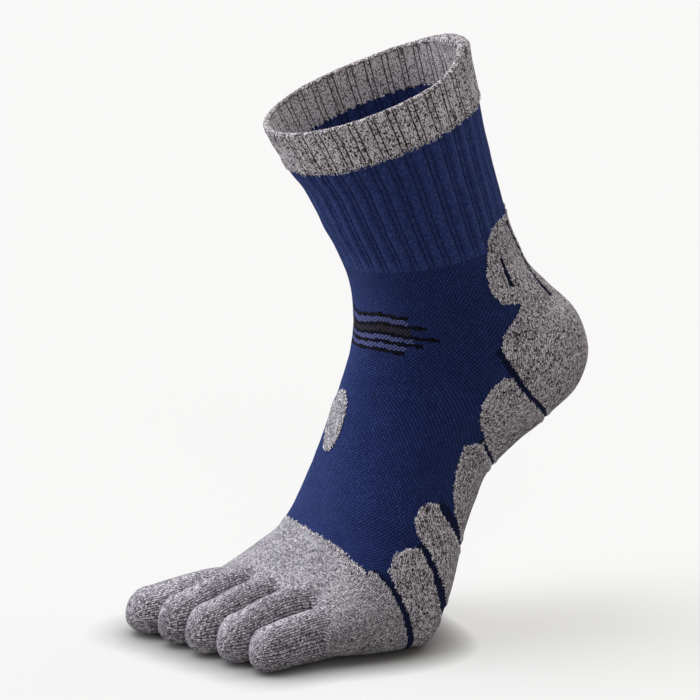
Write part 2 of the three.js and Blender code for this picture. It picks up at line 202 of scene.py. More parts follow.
def tube(rows, turns, raised=0.0, shift=0.0):
    """Points of the tube at rows and turns. raised moves them outwards, shift along towards the toes."""
    rows, turns, raised, shift = np.broadcast_arrays(rows, turns, raised, shift)
    values = between(SECTIONS, rows)
    front, back = values[..., 0:2], values[..., 2:4]
    middle = (front + back) / 2
    depth = np.linalg.norm(front - back, axis=-1)
    to_front = (front - back) / depth[..., None]
    c, s = np.cos(turns), np.sin(turns)
    square = np.where(c > 0, values[..., 6], values[..., 7])
    half = np.where(s > 0, values[..., 4], values[..., 5]) + raised
    x = signed_power(s, 2 / square) * half
    h = signed_power(c, 2 / square) * (depth / 2 + raised)
    slant = np.clip((rows - SLANT_START) / (TOE_ROOT - SLANT_START), 0, 1) * root_slant(x)
    y = middle[..., 0] + to_front[..., 0] * h - to_front[..., 1] * shift + slant
    z = middle[..., 1] + to_front[..., 1] * h + to_front[..., 0] * shift
    return np.stack([x, y, np.maximum(z, np.maximum(-raised, 0))], -1)


def toe_surface(toe, back, size, turns):
    """Points of one toe at shares of its length back from the tip, on rings of a share of its size."""
    back, size, turns = np.broadcast_arrays(back, size, turns)
    tip_x, tip_y, root_x, length, half_width, top_z, blunt = toe
    profile = between(TOE_PROFILE, np.interp(back, TOE_PROFILE[:, 0], np.arange(len(TOE_PROFILE))))
    share = profile[..., 2] + blunt * (1 - profile[..., 2])
    under, top, wide = profile[..., 1], share * top_z, profile[..., 3] * half_width
    middle_z = (under + top) / 2 - (1 - size) * TOE_TIP_DROP
    x = tip_x + (root_x - tip_x) * back + wide * size * signed_power(np.sin(turns), 2 / TOE_SQUARE)
    z = middle_z + (top - under) / 2 * size * signed_power(np.cos(turns), 2 / TOE_SQUARE)
    return np.stack([x, tip_y + back * length, np.maximum(z, 0)], -1)


def toe_stations(round_steps, plain_steps, last_back):
    """Shares of the length and of the size, from the tip back."""
    angles = np.linspace(TOE_TIP_RING, 1, round_steps + 1) * np.pi / 2
    plain = np.linspace(TOE_ROUND_END, last_back, plain_steps + 1)[1:]
    back = np.concatenate([TOE_ROUND_END * (1 - np.cos(angles)), plain])
    return back, np.concatenate([np.sin(angles), np.ones(plain_steps)])


def lengths(points, axis):
    """Distance along a line of points, from its first."""
    steps = np.linalg.norm(np.diff(points, axis=axis), axis=-1)
    return np.insert(np.cumsum(steps, axis=axis), 0, 0, axis=axis)


def even_rows(first, last, step):
    """Rows that lie one course apart, as the mean of the tube's four sides has it."""
    fine = np.linspace(first, last, FINE_ROWS)
    along = lengths(tube(fine[:, None], SIDE_TURNS[None, :]), 0).mean(axis=1)
    count = int(round(along[-1] / step))
    return np.interp(np.linspace(0, along[-1], count + 1), along, fine)


def column_turns(rows):
    """The turn of each wale at each row: as the ribs have them on the leg, and evenly apart on the foot."""
    ribbed = (np.arange(RIB_REPEATS)[:, None] + RIB_PLACES[None, :]).ravel() * 2 * np.pi / RIB_REPEATS
    fine = np.linspace(0, 2 * np.pi, FINE_TURNS)
    rings = lengths(tube(rows[:, None], fine[None, :]), 1)
    shares = np.arange(COLUMNS) / COLUMNS
    even = np.array([np.interp(shares * ring[-1], ring, fine) for ring in rings])
    mix = eased(np.clip((rows - RIB_END) / EVEN_ROWS, 0, 1))[:, None]
    return ribbed[None, :] * (1 - mix) + even * mix


def in_outline(y, z, outline):
    """Which of the places lie inside a closed outline."""
    inside = np.zeros(y.shape, bool)
    for (ya, za), (yb, zb) in zip(outline, outline[1:] + outline[:1]):
        if za == zb:
            continue
        crosses = (za > z) != (zb > z)
        inside ^= crosses & (y < ya + (z - za) * (yb - ya) / (zb - za))
    return inside


def off_line(y, z, line):
    """How far the places lie from an open line."""
    nearest = np.full(y.shape, np.inf)
    for (ya, za), (yb, zb) in zip(line, line[1:]):
        dy, dz = yb - ya, zb - za
        t = np.clip(((y - ya) * dy + (z - za) * dz) / (dy * dy + dz * dz), 0, 1)
        nearest = np.minimum(nearest, np.hypot(y - ya - t * dy, z - za - t * dz))
    return nearest


def behind_cap_edge(y, z):
    """How far the places lie behind the toe cap's edge in the side view."""
    edge = np.array(CAP_SIDE_EDGE[::-1])
    return y - np.interp(z, edge[:, 1], edge[:, 0])


def soft_field(shape, cells, chance):
    """A smooth chance field over a grid that closes on itself across its columns."""
    knots = chance.standard_normal(cells)
    just_short = cells[0] - 1.001
    i = np.linspace(0, just_short, shape[0])[:, None]
    j = (np.arange(shape[1]) * cells[1] / shape[1])[None, :]
    i0, j0 = np.floor(i).astype(int), np.floor(j).astype(int)
    ti, tj = eased(i - i0), eased(j - j0)
    j1 = (j0 + 1) % cells[1]
    near = knots[i0, j0] * (1 - tj) + knots[i0, j1] * tj
    far = knots[i0 + 1, j0] * (1 - tj) + knots[i0 + 1, j1] * tj
    return near * (1 - ti) + far * ti


def grid_normals(points):
    """Outward directions of a grid that closes across its columns."""
    down = np.gradient(points, axis=0)
    round_ = np.roll(points, -1, axis=1) - np.roll(points, 1, axis=1)
    normals = np.cross(down, round_)
    return normals / np.maximum(np.linalg.norm(normals, axis=-1, keepdims=True), TINY)


def grid_faces(cells, columns):
    """Corner numbers and stitch places of the picked cells of a grid that closes across its columns."""
    i, j = np.nonzero(cells)
    rows = np.stack([i, i + 1, i + 1, i], 1)
    sides = np.stack([j, j, j + 1, j + 1], 1)
    return rows * columns + sides % columns, np.stack([sides, rows], -1).astype(float)


def put_in_scene(name, data):
    """A new object of the scene."""
    thing = bpy.data.objects.new(name, data)
    bpy.context.scene.collection.objects.link(thing)
    return thing


def closed_shell(name, outer, inner, faces, places, outer_slots, inner_slots, normals, materials):
    """A cloth of some thickness: its outer faces, the same faces inside, and a rim along its free edges."""
    count = len(outer)
    starts, ends = faces, np.roll(faces, -1, axis=1)
    forward = (starts.astype(np.int64) * count + ends).ravel()
    backward = (ends.astype(np.int64) * count + starts).ravel()
    free = ~np.isin(forward, backward)
    a, b = starts.ravel()[free], ends.ravel()[free]
    place_a = places.reshape(-1, 2)[free]
    place_b = np.roll(places, -1, axis=1).reshape(-1, 2)[free]
    rim = np.stack([b, a, a + count, b + count], 1)
    all_faces = np.concatenate([faces, faces[:, ::-1] + count, rim])
    rim_places = np.stack([place_b, place_a, place_a, place_b], 1)
    all_places = np.concatenate([places, places[:, ::-1], rim_places])
    slots = np.concatenate([outer_slots, inner_slots, np.repeat(outer_slots, faces.shape[1])[free]])
    used, renumbered = np.unique(all_faces, return_inverse=True)
    points = (np.concatenate([outer, inner])[used] + ORIGIN) * MM
    mesh = bpy.data.meshes.new(name)
    mesh.from_pydata(points.tolist(), [], renumbered.reshape(all_faces.shape).tolist())
    uv = mesh.uv_layers.new(name="Stitches")
    uv.data.foreach_set("uv", all_places.astype(np.float32).ravel())
    for material in materials:
        mesh.materials.append(material)
    mesh.polygons.foreach_set("material_index", slots.astype(np.int32))
    mesh.shade_smooth()
    mesh.normals_split_custom_set_from_vertices(np.concatenate([normals, -normals])[used].tolist())
    return put_in_scene(name, mesh)


# Shader groups and materials


def add(tree, kind, inputs=None, **settings):
    """A node with its settings, and its inputs set or linked."""
    node = tree.nodes.new(kind)
    for key, value in settings.items():
        setattr(node, key, value)
    for key, value in (inputs or {}).items():
        if isinstance(value, bpy.types.NodeSocket):
            tree.links.new(value, node.inputs[key])
        else:
            node.inputs[key].default_value = value
    return node


def calc(tree, operation, *values):
    """The result of a Math node."""
    node = add(tree, "ShaderNodeMath", dict(enumerate(values)), operation=operation)
    return node.outputs[0]


def smooth_range(tree, value, low, high, to_low=0.0, to_high=1.0):
    """A value that goes softly from one range to another."""
    inputs = {"Value": value, "From Min": low, "From Max": high, "To Min": to_low, "To Max": to_high}
    return add(tree, "ShaderNodeMapRange", inputs, interpolation_type="SMOOTHSTEP").outputs["Result"]


def shader_group(name, inputs, outputs):
    """An empty shader group with its sockets, and its two end nodes."""
    tree = bpy.data.node_groups.new(name, "ShaderNodeTree")
    for label, kind, value in inputs:
        socket = tree.interface.new_socket(label, in_out="INPUT", socket_type=kind)
        if value is not None:
            socket.default_value = value
    for label in outputs:
        tree.interface.new_socket(label, in_out="OUTPUT", socket_type="NodeSocketFloat")
    return tree, tree.nodes.new("NodeGroupInput"), tree.nodes.new("NodeGroupOutput")


LEG_SLANT = 0.7  # how far the legs of a stitch lean, in courses for each wale
WHOLE_SHARE, LEG_SHARE = 0.35, 0.65  # of a stitch's own tone and of its legs' own tones
GAP_FULL, GAP_NONE = 0.15, 0.75  # heights of the yarn at which a gap is open and shut; the open gaps are painted dark as shade
WALE_GAP_NONE, WALE_GAP_FULL = 0.25, 0.48  # places from the middle of a wale, in stitches, at which the painted shade between wales starts and is full


def knit_stitches():
    """Two slanting legs a stitch: their height, the gaps between them, whose masks carry painted shade, and
    a chance tone for each leg.
    """
    sockets = [("Stitch", "NodeSocketVector", None), ("Slant", "NodeSocketFloat", LEG_SLANT)]
    tree, start, end = shader_group("Knit Stitches", sockets, ["Height", "Gap", "Wale Gap", "Tone"])
    place = add(tree, "ShaderNodeSeparateXYZ", {0: start.outputs["Stitch"]})
    wale, course = place.outputs["X"], place.outputs["Y"]
    off_middle = calc(tree, "ABSOLUTE", calc(tree, "SUBTRACT", calc(tree, "FRACT", wale), 0.5))
    leaning = calc(tree, "MULTIPLY_ADD", off_middle, start.outputs["Slant"], course)
    legs = calc(tree, "MULTIPLY", wale, 2.0)
    profiles = []
    for value in (leaning, legs):
        centred = calc(tree, "MULTIPLY_ADD", calc(tree, "FRACT", value), 2.0, -1.0)
        profiles.append(calc(tree, "SUBTRACT", 1.0, calc(tree, "MULTIPLY", centred, centred)))
    height = calc(tree, "MULTIPLY", calc(tree, "ADD", *profiles), 0.5)
    tones = []
    for across in (wale, legs):
        corner = {0: calc(tree, "FLOOR", across), 1: calc(tree, "FLOOR", leaning)}
        cell = add(tree, "ShaderNodeCombineXYZ", corner)
        noise = add(tree, "ShaderNodeTexWhiteNoise", {"Vector": cell.outputs[0]}, noise_dimensions="2D")
        tones.append(noise.outputs["Value"])
    tone = calc(tree, "MULTIPLY_ADD", tones[0], WHOLE_SHARE, calc(tree, "MULTIPLY", tones[1], LEG_SHARE))
    tree.links.new(height, end.inputs["Height"])
    tree.links.new(smooth_range(tree, height, GAP_FULL, GAP_NONE, 1.0, 0.0), end.inputs["Gap"])
    tree.links.new(smooth_range(tree, off_middle, WALE_GAP_NONE, WALE_GAP_FULL), end.inputs["Wale Gap"])
    tree.links.new(tone, end.inputs["Tone"])
    return tree


SECOND_GROOVE = 6.0  # its place in the rib repeat, in stitches
GROOVE_FULL, HOLE_FULL = 0.2, 0.3  # shares of the half width and radius within which they are full


def rib_grooves():
    """The two grooves of each rib repeat, which lie at the first and the seventh of its eight stitches: a
    mask for their relief and their painted shade.
    """
    sockets = [("Stitch", "NodeSocketVector", None), ("Half Width", "NodeSocketFloat", 0.5)]
    tree, start, end = shader_group("Rib Grooves", sockets, ["Groove"])
    wale = add(tree, "ShaderNodeSeparateXYZ", {0: start.outputs["Stitch"]}).outputs["X"]
    in_repeat = calc(tree, "FLOORED_MODULO", wale, float(RIB_STITCHES))
    to_next = calc(tree, "SUBTRACT", float(RIB_STITCHES), in_repeat)
    to_second = calc(tree, "ABSOLUTE", calc(tree, "SUBTRACT", in_repeat, SECOND_GROOVE))
    nearest = calc(tree, "MINIMUM", calc(tree, "MINIMUM", in_repeat, to_next), to_second)
    away = calc(tree, "DIVIDE", nearest, start.outputs["Half Width"])
    groove = smooth_range(tree, away, GROOVE_FULL, 1.0, 1.0, 0.0)
    tree.links.new(groove, end.inputs["Groove"])
    return tree


def mesh_holes():
    """Small holes of an openwork knit, in every second stitch of each course."""
    sockets = [("Stitch", "NodeSocketVector", None), ("Radius", "NodeSocketFloat", 0.5)]
    tree, start, end = shader_group("Mesh Holes", sockets, ["Hole"])
    place = add(tree, "ShaderNodeSeparateXYZ", {0: start.outputs["Stitch"]})
    wale, course = place.outputs["X"], place.outputs["Y"]
    offset = calc(tree, "FLOORED_MODULO", calc(tree, "FLOOR", course), 2.0)
    across = calc(tree, "FLOORED_MODULO", calc(tree, "ADD", wale, offset), 2.0)
    dx = calc(tree, "SUBTRACT", across, 0.5)
    dy = calc(tree, "SUBTRACT", calc(tree, "FRACT", course), 0.5)
    squares = calc(tree, "ADD", calc(tree, "MULTIPLY", dx, dx), calc(tree, "MULTIPLY", dy, dy))
    away = calc(tree, "DIVIDE", calc(tree, "SQRT", squares), start.outputs["Radius"])
    tree.links.new(smooth_range(tree, away, HOLE_FULL, 1.0, 1.0, 0.0), end.inputs["Hole"])
    return tree


FLECK_SCALE, CLOUD_SCALE = 1400.0, 60.0
FLECK_DARK, FLECK_PALE = 0.3, 0.7  # noise values at which a fleck is quite dark and quite pale
TONE_WEIGHT, FLECK_WEIGHT, CLOUD_WEIGHT = 0.6, 0.4, 0.2


def marl_flecks():
    """How pale a marl yarn is: the tone of each leg of a stitch, with flecks along it and wide clouds."""
    sockets = [
        ("Place", "NodeSocketVector", None),
        ("Tone", "NodeSocketFloat", 0.5),
        ("Stray", "NodeSocketFloat", 1.0),
    ]
    tree, start, end = shader_group("Marl Flecks", sockets, ["Shade"])
    here = start.outputs["Place"]
    flecks = add(tree, "ShaderNodeTexNoise", {"Vector": here, "Scale": FLECK_SCALE, "Detail": 1.0})
    clouds = add(tree, "ShaderNodeTexNoise", {"Vector": here, "Scale": CLOUD_SCALE, "Detail": 2.0})
    fleck = smooth_range(tree, flecks.outputs["Fac"], FLECK_DARK, FLECK_PALE)
    to_middle = -(TONE_WEIGHT + FLECK_WEIGHT + CLOUD_WEIGHT) / 2
    cloud = calc(tree, "MULTIPLY_ADD", clouds.outputs["Fac"], CLOUD_WEIGHT, to_middle)
    fleck_and_cloud = calc(tree, "MULTIPLY_ADD", fleck, FLECK_WEIGHT, cloud)
    mixed = calc(tree, "MULTIPLY_ADD", start.outputs["Tone"], TONE_WEIGHT, fleck_and_cloud)
    shade = calc(tree, "MULTIPLY_ADD", mixed, start.outputs["Stray"], 0.5)
    tree.links.new(shade, end.inputs["Shade"])
    return tree


STITCHES = knit_stitches()
GROOVES = rib_grooves()
HOLES = mesh_holes()
FLECKS = marl_flecks()

TONE_PLACES = (0.25, 0.5, 0.75)  # of the darkest, middle and lightest tones
GAP_SHARE = 0.2  # colour of the painted shade in the gaps, grooves and holes, as a share of the darkest stitches
MIX_FIRST, MIX_SECOND, MIX_COLOUR = 6, 7, 2  # the colour sockets of a Mix node
GROOVE_HALF, VALLEY_HALF, HOLE_RADIUS = 0.5, 2.4, 0.7  # in stitches; the valley is a wide band of painted shade and lowered relief round each groove
STITCH_RELIEF, STRAND_RELIEF = 0.0006, 0.0003  # heights of the relief, in metres
STRAND_STRAY, STRAND_BUMP = 1.8, 0.5
FIBRE = {"Roughness": 0.95, "Specular IOR Level": 0.1, "Sheen Roughness": 0.4}
PALE, BLUE = (0.9, 0.9, 1.0), (0.3, 0.42, 1.0)  # tints of the sheen
LILAC, BROWN = (0.42, 0.40, 0.62), (0.2, 0.16, 0.2)  # dots on the grounds of the bars


def mixed_in(tree, share, first, second):
    """The colour of a Mix node from the linked first colour to the second."""
    node = add(tree, "ShaderNodeMix", {"Factor": share}, data_type="RGBA")
    tree.links.new(first, node.inputs[MIX_FIRST])
    node.inputs[MIX_SECOND].default_value = (*second, 1.0)
    return node.outputs[MIX_COLOUR]


def marl_colour(tree, tones, stray, tone_of_leg=None):
    """The colour of a yarn at each place, between its darkest, middle and lightest tones."""
    here = add(tree, "ShaderNodeTexCoord").outputs["Object"]
    flecks = add(tree, "ShaderNodeGroup", {"Stray": stray, "Place": here}, node_tree=FLECKS)
    if tone_of_leg:
        tree.links.new(tone_of_leg, flecks.inputs["Tone"])
    ramp = add(tree, "ShaderNodeValToRGB", {"Fac": flecks.outputs["Shade"]})
    ramp.color_ramp.elements.new(TONE_PLACES[1])
    for element, place, tone in zip(ramp.color_ramp.elements, TONE_PLACES, tones):
        element.position = place
        element.color = (*tone, 1.0)
    return ramp.outputs["Color"]


def matt_fibre(shader, sheen, tint):
    """A rough, dull fibre with a soft sheen at grazing angles."""
    for socket, value in FIBRE.items():
        shader.inputs[socket].default_value = value
    shader.inputs["Sheen Weight"].default_value = sheen
    shader.inputs["Sheen Tint"].default_value = (*tint, 1.0)


def new_material(name):
    """A material, its node tree and its shader."""
    material = bpy.data.materials.new(name)
    material.use_nodes = True
    return material, material.node_tree, material.node_tree.nodes["Principled BSDF"]


def give_relief(tree, shader, height, strength, distance):
    """A bump of a height that the shader's normals follow."""
    bump = add(tree, "ShaderNodeBump", {"Height": height, "Strength": strength, "Distance": distance})
    tree.links.new(bump.outputs["Normal"], shader.inputs["Normal"])


def yarn(
    name, tones, stray=1.0, gap_shade=0.6, wale_shade=0.3, sheen=0.1, tint=PALE, bump=0.5,
    groove=0.0, valley=0.0, hole=0.0, dots=0.0, dot_tone=LILAC,
):
    """A knit of one yarn. tones are its darkest, middle and lightest colours, and stray is how far single
    stitches go to either end of them. The rest are shares: how dark the painted shade in its gaps, grooves
    and holes is."""
    material, tree, shader = new_material(name)
    stitch = add(tree, "ShaderNodeUVMap", uv_map="Stitches").outputs["UV"]
    knit = add(tree, "ShaderNodeGroup", {"Stitch": stitch}, node_tree=STITCHES)
    marl = marl_colour(tree, tones, stray, knit.outputs["Tone"])
    # Painted shade in the gaps between the stitch legs and between the wales
    shade = calc(tree, "MULTIPLY", knit.outputs["Gap"], gap_shade)
    shade = calc(tree, "MAXIMUM", shade, calc(tree, "MULTIPLY", knit.outputs["Wale Gap"], wale_shade))
    height = knit.outputs["Height"]
    # Grooves, the wide valleys round them and holes are lowered in the relief and painted dark as shade
    marks = (
        (groove, GROOVES, "Half Width", GROOVE_HALF, "Groove"),
        (valley, GROOVES, "Half Width", VALLEY_HALF, "Groove"),
        (hole, HOLES, "Radius", HOLE_RADIUS, "Hole"),
    )
    for amount, group, size_name, size, output in marks:
        if amount:
            node = add(tree, "ShaderNodeGroup", {"Stitch": stitch, size_name: size}, node_tree=group)
            shade = calc(tree, "MAXIMUM", shade, calc(tree, "MULTIPLY", node.outputs[output], amount))
            height = calc(tree, "MULTIPLY_ADD", node.outputs[output], -amount, height)
    # Painted shade: the colour goes dark in the gaps, grooves and holes
    colour = mixed_in(tree, shade, marl, [GAP_SHARE * channel for channel in tones[0]])
    if dots:
        node = add(tree, "ShaderNodeGroup", {"Stitch": stitch, "Radius": HOLE_RADIUS}, node_tree=HOLES)
        colour = mixed_in(tree, calc(tree, "MULTIPLY", node.outputs["Hole"], dots), colour, dot_tone)
    tree.links.new(colour, shader.inputs["Base Color"])
    give_relief(tree, shader, height, bump, STITCH_RELIEF)
    matt_fibre(shader, sheen, tint)
    return material


def strand(name, tones, sheen, tint):
    """A loose strand of yarn with flecks along it."""
    material, tree, shader = new_material(name)
    colour = marl_colour(tree, tones, STRAND_STRAY)
    tree.links.new(colour, shader.inputs["Base Color"])
    give_relief(tree, shader, colour, STRAND_BUMP, STRAND_RELIEF)
    matt_fibre(shader, sheen, tint)
    return material


# The darkest, middle and lightest colours of each yarn
HEEL_TONES = ((0.026, 0.022, 0.027), (0.49, 0.436, 0.495), (1.0, 0.96, 1.0))
CAP_TONES = ((0.045, 0.041, 0.048), (0.425, 0.393, 0.445), (1.0, 0.97, 1.0))
# The toes' marl is set darker than the cap's, partly as painted shade of the creases between the toes
TOE_TONES = ((0.055, 0.05, 0.059), (0.35, 0.318, 0.365), (0.92, 0.88, 0.94))
WELT_TONES = ((0.06, 0.052, 0.056), (0.72, 0.64, 0.69), (1.0, 0.97, 0.99))
EDGE_TONES = ((0.10, 0.09, 0.10), (0.50, 0.455, 0.50), (0.95, 0.91, 0.95))
# The fold's marl is a darker copy of the welt's: painted shade that keeps the fold's top from showing
# lighter than the welt
SHADED_FOLD_TONES = ((0.03, 0.026, 0.029), (0.40, 0.355, 0.385), (0.85, 0.8, 0.82))
# The welt's inside is a lighter copy of the welt's marl, as painted light where little light reaches into
# the mouth
LIT_LINING_TONES = ((0.22, 0.19, 0.2), (1.0, 0.91, 0.95), (1.0, 0.98, 1.0))
MESH_TONES = ((0.009, 0.016, 0.078), (0.020, 0.036, 0.152), (0.048, 0.082, 0.285))
RIB_TONES = ((0.013, 0.022, 0.091), (0.030, 0.049, 0.182), (0.068, 0.103, 0.33))
DARK_TONES = ((0.001, 0.001, 0.003), (0.003, 0.003, 0.007), (0.012, 0.012, 0.024))
DUSK_TONES = ((0.002, 0.002, 0.005), (0.006, 0.006, 0.014), (0.02, 0.018, 0.035))
LINE_TONES = ((0.004, 0.005, 0.02), (0.008, 0.012, 0.045), (0.016, 0.022, 0.075))
TOE_SHEEN, NAVY_SHEEN = 0.12, 0.24

heel_marl = yarn("Grey marl of heel and pads", HEEL_TONES, stray=1.05, gap_shade=0.9, wale_shade=0.8)
cap_marl = yarn(
    "Grey marl of the toe cap", CAP_TONES, stray=0.65, gap_shade=0.85, wale_shade=1.0, sheen=TOE_SHEEN,
)
toe_marl = yarn("Grey marl of the toes", TOE_TONES, stray=0.7, gap_shade=0.6, wale_shade=1.0, sheen=TOE_SHEEN)
welt_marl = yarn(
    "Grey marl of the welt", WELT_TONES, stray=1.3, gap_shade=0.85, wale_shade=0.6, groove=0.97, valley=0.1,
)
shaded_fold_marl = yarn("Grey marl of the fold, with painted shade", SHADED_FOLD_TONES, stray=1.0, gap_shade=0.8, wale_shade=0.5, groove=0.8)
lit_lining_marl = yarn(
    "Grey marl inside the welt, with painted light", LIT_LINING_TONES, stray=1.3, gap_shade=0.9, wale_shade=0.6, groove=0.97,
)
edge_marl = strand("Grey strands of the edge stitches", EDGE_TONES, TOE_SHEEN, PALE)
rib_navy = yarn(
    "Navy rib", RIB_TONES, stray=0.5, gap_shade=0.5, wale_shade=0.2, sheen=NAVY_SHEEN, tint=BLUE,
    bump=0.6, groove=0.75, valley=0.22,
)
# The openwork's holes are not cut: they are painted dark, as the shade seen through them
mesh_navy = yarn(
    "Navy openwork", MESH_TONES, stray=0.4, gap_shade=0.45, wale_shade=0.2, sheen=NAVY_SHEEN, tint=BLUE,
    bump=0.6, hole=0.95,
)
bar_yarn = yarn("Dark bar yarn", DARK_TONES, sheen=0.03, bump=0.6)
dotted_yarn = yarn(
    "Dotted ground of the bars", MESH_TONES, stray=0.4, gap_shade=0.7, tint=BLUE, dots=0.4, dot_tone=LILAC,
)
dusk_yarn = yarn("Dark dotted ground", DUSK_TONES, sheen=0.05, dots=0.3, dot_tone=BROWN)
line_yarn = yarn("Dark navy lines", LINE_TONES, stray=0.5, sheen=0.05, tint=BLUE, bump=0.6)

MATERIALS = [
    rib_navy, mesh_navy, heel_marl, cap_marl, toe_marl, welt_marl,
    lit_lining_marl, bar_yarn, dotted_yarn, dusk_yarn, line_yarn, shaded_fold_marl,
]
# Their numbers, in the same order
RIB, MESH, GREY, CAP, TOE, WELT, LINING, BAR, DOTTED, DUSK, LINE, FOLD = range(len(MATERIALS))


# The tube from the mouth to the cap edge, as one grid of stitches

chance = np.random.default_rng(SEED)
welt_rows = even_rows(MOUTH, WELT_END, COURSE)
foot_rows = even_rows(WELT_END, CAP_EDGE, COURSE)
rows = np.concatenate([welt_rows[:-1], foot_rows])
welt_count = len(welt_rows) - 1
turns = column_turns(rows)
plain = tube(rows[:, None], turns)


def cell_middles(values):
    """Mean of the four corners of each cell."""
    beside = np.roll(values, -1, axis=1)
    return (values[:-1] + values[1:] + beside[:-1] + beside[1:]) / 4


middles = cell_middles(plain)
side_y, side_z = middles[..., 1], middles[..., 2]
cell_rows = ((rows[:-1] + rows[1:]) / 2)[:, None] + np.zeros(COLUMNS)
cell_turns = (turns[:-1] + np.roll(turns, -1, axis=1)[:-1]) / 2
cell_turns[:, -1] = (turns[:-1, -1] + 2 * np.pi) / 2
cell_turns = np.where(cell_turns > np.pi, cell_turns - 2 * np.pi, cell_turns)

below_ribs = cell_rows > RIB_END
on_sides = np.abs(cell_turns) > SIDE_TURN
heel_cells = in_outline(side_y, side_z, HEEL_OUTLINE) & (cell_rows > RIB_END - HEEL_IN_RIBS)


def side_colours(y, z):
    """Colours of the sides and the sole: pads, the lines between them, and the toe cap."""
    colours = np.full(y.shape, MESH)
    for outline in PADS:
        colours[in_outline(y, z, outline)] = GREY
    for line in PAD_LINES:
        away_from_line = off_line(y, z, line)
        colours[away_from_line < LINE_HALF] = LINE
        colours[(colours == MESH) & (away_from_line < GAP_HALF)] = LINE
    colours[off_line(y, z, HEEL_GORE) < GORE_HALF] = LINE
    behind = behind_cap_edge(y, z)
    colours[behind < CAP_LINE_WIDE] = LINE
    colours[behind < 0] = CAP
    return colours


edge_row = np.interp(np.abs(cell_turns), CAP_FRONT_TURNS, CAP_FRONT_ROWS)
cap_cells = cell_rows > edge_row + chance.choice([0, CAP_STRAY_ROWS], cell_rows.shape)
slots = np.where(below_ribs, MESH, RIB)
slots = np.where(below_ribs & on_sides, side_colours(side_y, side_z), slots)
slots[cap_cells & ~on_sides] = CAP
pad_middle, pad_half_length, pad_half_width = INSTEP_PAD
in_oval = ((side_z - pad_middle) / pad_half_length) ** 2 + (middles[..., 0] / pad_half_width) ** 2 < 1
slots[in_oval & (np.abs(cell_turns) < FRONT_TURN)] = CAP

# The bars, and the grounds between them
away = np.abs(cell_turns)
bar_rows = []
for front_row, middle_row, end_row, end_turn in BARS:
    bar_row = np.interp(away, [0, BAR_MIDDLE_TURN, end_turn], [front_row, middle_row, end_row])
    bar_rows.append((bar_row, away < end_turn))
for number, ((upper, upper_on), (lower, lower_on)) in enumerate(zip(bar_rows, bar_rows[1:])):
    ground = (cell_rows > upper) & (cell_rows < lower) & upper_on & lower_on & (away < DOTS_END_TURN)
    slots[ground] = DUSK if number == DUSK_GROUND else DOTTED
for bar_row, bar_on in bar_rows:
    slots[(np.abs(cell_rows - bar_row) < BAR_HALF) & bar_on] = BAR

slots[heel_cells] = GREY
# The slits are narrower in the side view where the heel turns away from it
facing_sideways = np.abs(cell_middles(grid_normals(plain))[..., 0])
slit_half = SLIT_HALF * (SLIT_LEAST + (1 - SLIT_LEAST) * facing_sideways)
for line in HEEL_SLITS:
    slots[heel_cells & (off_line(side_y, side_z, line) < slit_half)] = LINE


def at_corners(cells):
    """Share of the cells round each point of the grid that are picked."""
    padded = np.concatenate([cells[:1], cells, cells[-1:]]).astype(float)
    before = np.roll(padded, 1, axis=1)
    return (padded[:-1] + padded[1:] + before[:-1] + before[1:]) / 4


# Which course of each wale is the last of the welt: it strays by one, as turned knitting does
welt_last = welt_count + chance.integers(0, 2, COLUMNS)
course_numbers = np.arange(len(rows) - 1)
welt_cells = course_numbers[:, None] < welt_last[None, :]

rib_fade = eased(np.clip((RIB_END - rows) / RIB_FADE_ROWS, 0, 1))[:, None]
rib_relief = -RIB_DEPTH * np.tile(RIB_DEEP, RIB_REPEATS)[None, :] * rib_fade
soft = soft_field(rows.shape + (COLUMNS,), SOFT_CELLS, chance) * SOFT_DEPTH
edge_fade = np.clip((CAP_EDGE - rows) / EDGE_FADE_ROWS, 0, 1)[:, None]
raised = rib_relief + soft * edge_fade
raised += PAD_RAISE * edge_fade * at_corners(np.isin(slots, (GREY, CAP)) & ~cap_cells)
raised -= LINE_SUNK * edge_fade * at_corners(slots == LINE)
outer_points = tube(rows[:, None], turns, raised)
inner_points = tube(rows[:, None], turns, np.where(rows < RIB_END, -LEG_WALL, -FOOT_WALL)[:, None] + soft)
outer_normals = grid_normals(outer_points)


def knitted_piece(name, cells, inner_slot):
    """The picked cells of the tube as a shell."""
    faces, places = grid_faces(cells, COLUMNS)
    piece = closed_shell(
        name, outer_points.reshape(-1, 3), inner_points.reshape(-1, 3), faces, places,
        slots[cells], np.full(len(faces), inner_slot), outer_normals.reshape(-1, 3), MATERIALS,
    )
    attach(piece, "root")
    return piece


leg_cells = ~welt_cells & ~below_ribs & ~heel_cells
foot_cells = below_ribs & ~heel_cells
leg_knit = knitted_piece("leg_knit", leg_cells, RIB)
foot_knit = knitted_piece("foot_knit", foot_cells, MESH)
heel_knit = knitted_piece("heel_knit", heel_cells, GREY)
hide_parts("rib_leg")
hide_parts("foot_tube")
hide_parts("heel_pocket")


# The turned welt: one cloth that goes up outside, over the fold and down inside

FOLD_RINGS = 7
FOLD_ROWS = 0.45  # the cloth below the fold makes room for it over this much of the first row
INSIDE_RELIEF, FOLD_SMOOTH = 0.6, 0.3  # shares of the ribs' relief inside, and lost on the fold
CORNER_DEEP, CORNER_OUT = 4.5, 0.8
# How fast the corner fades round the mouth and down from it, and how fast its lift fades down
CORNER_ROUND, CORNER_DOWN, LIFT_DOWN = 8, 1.5, 1.2
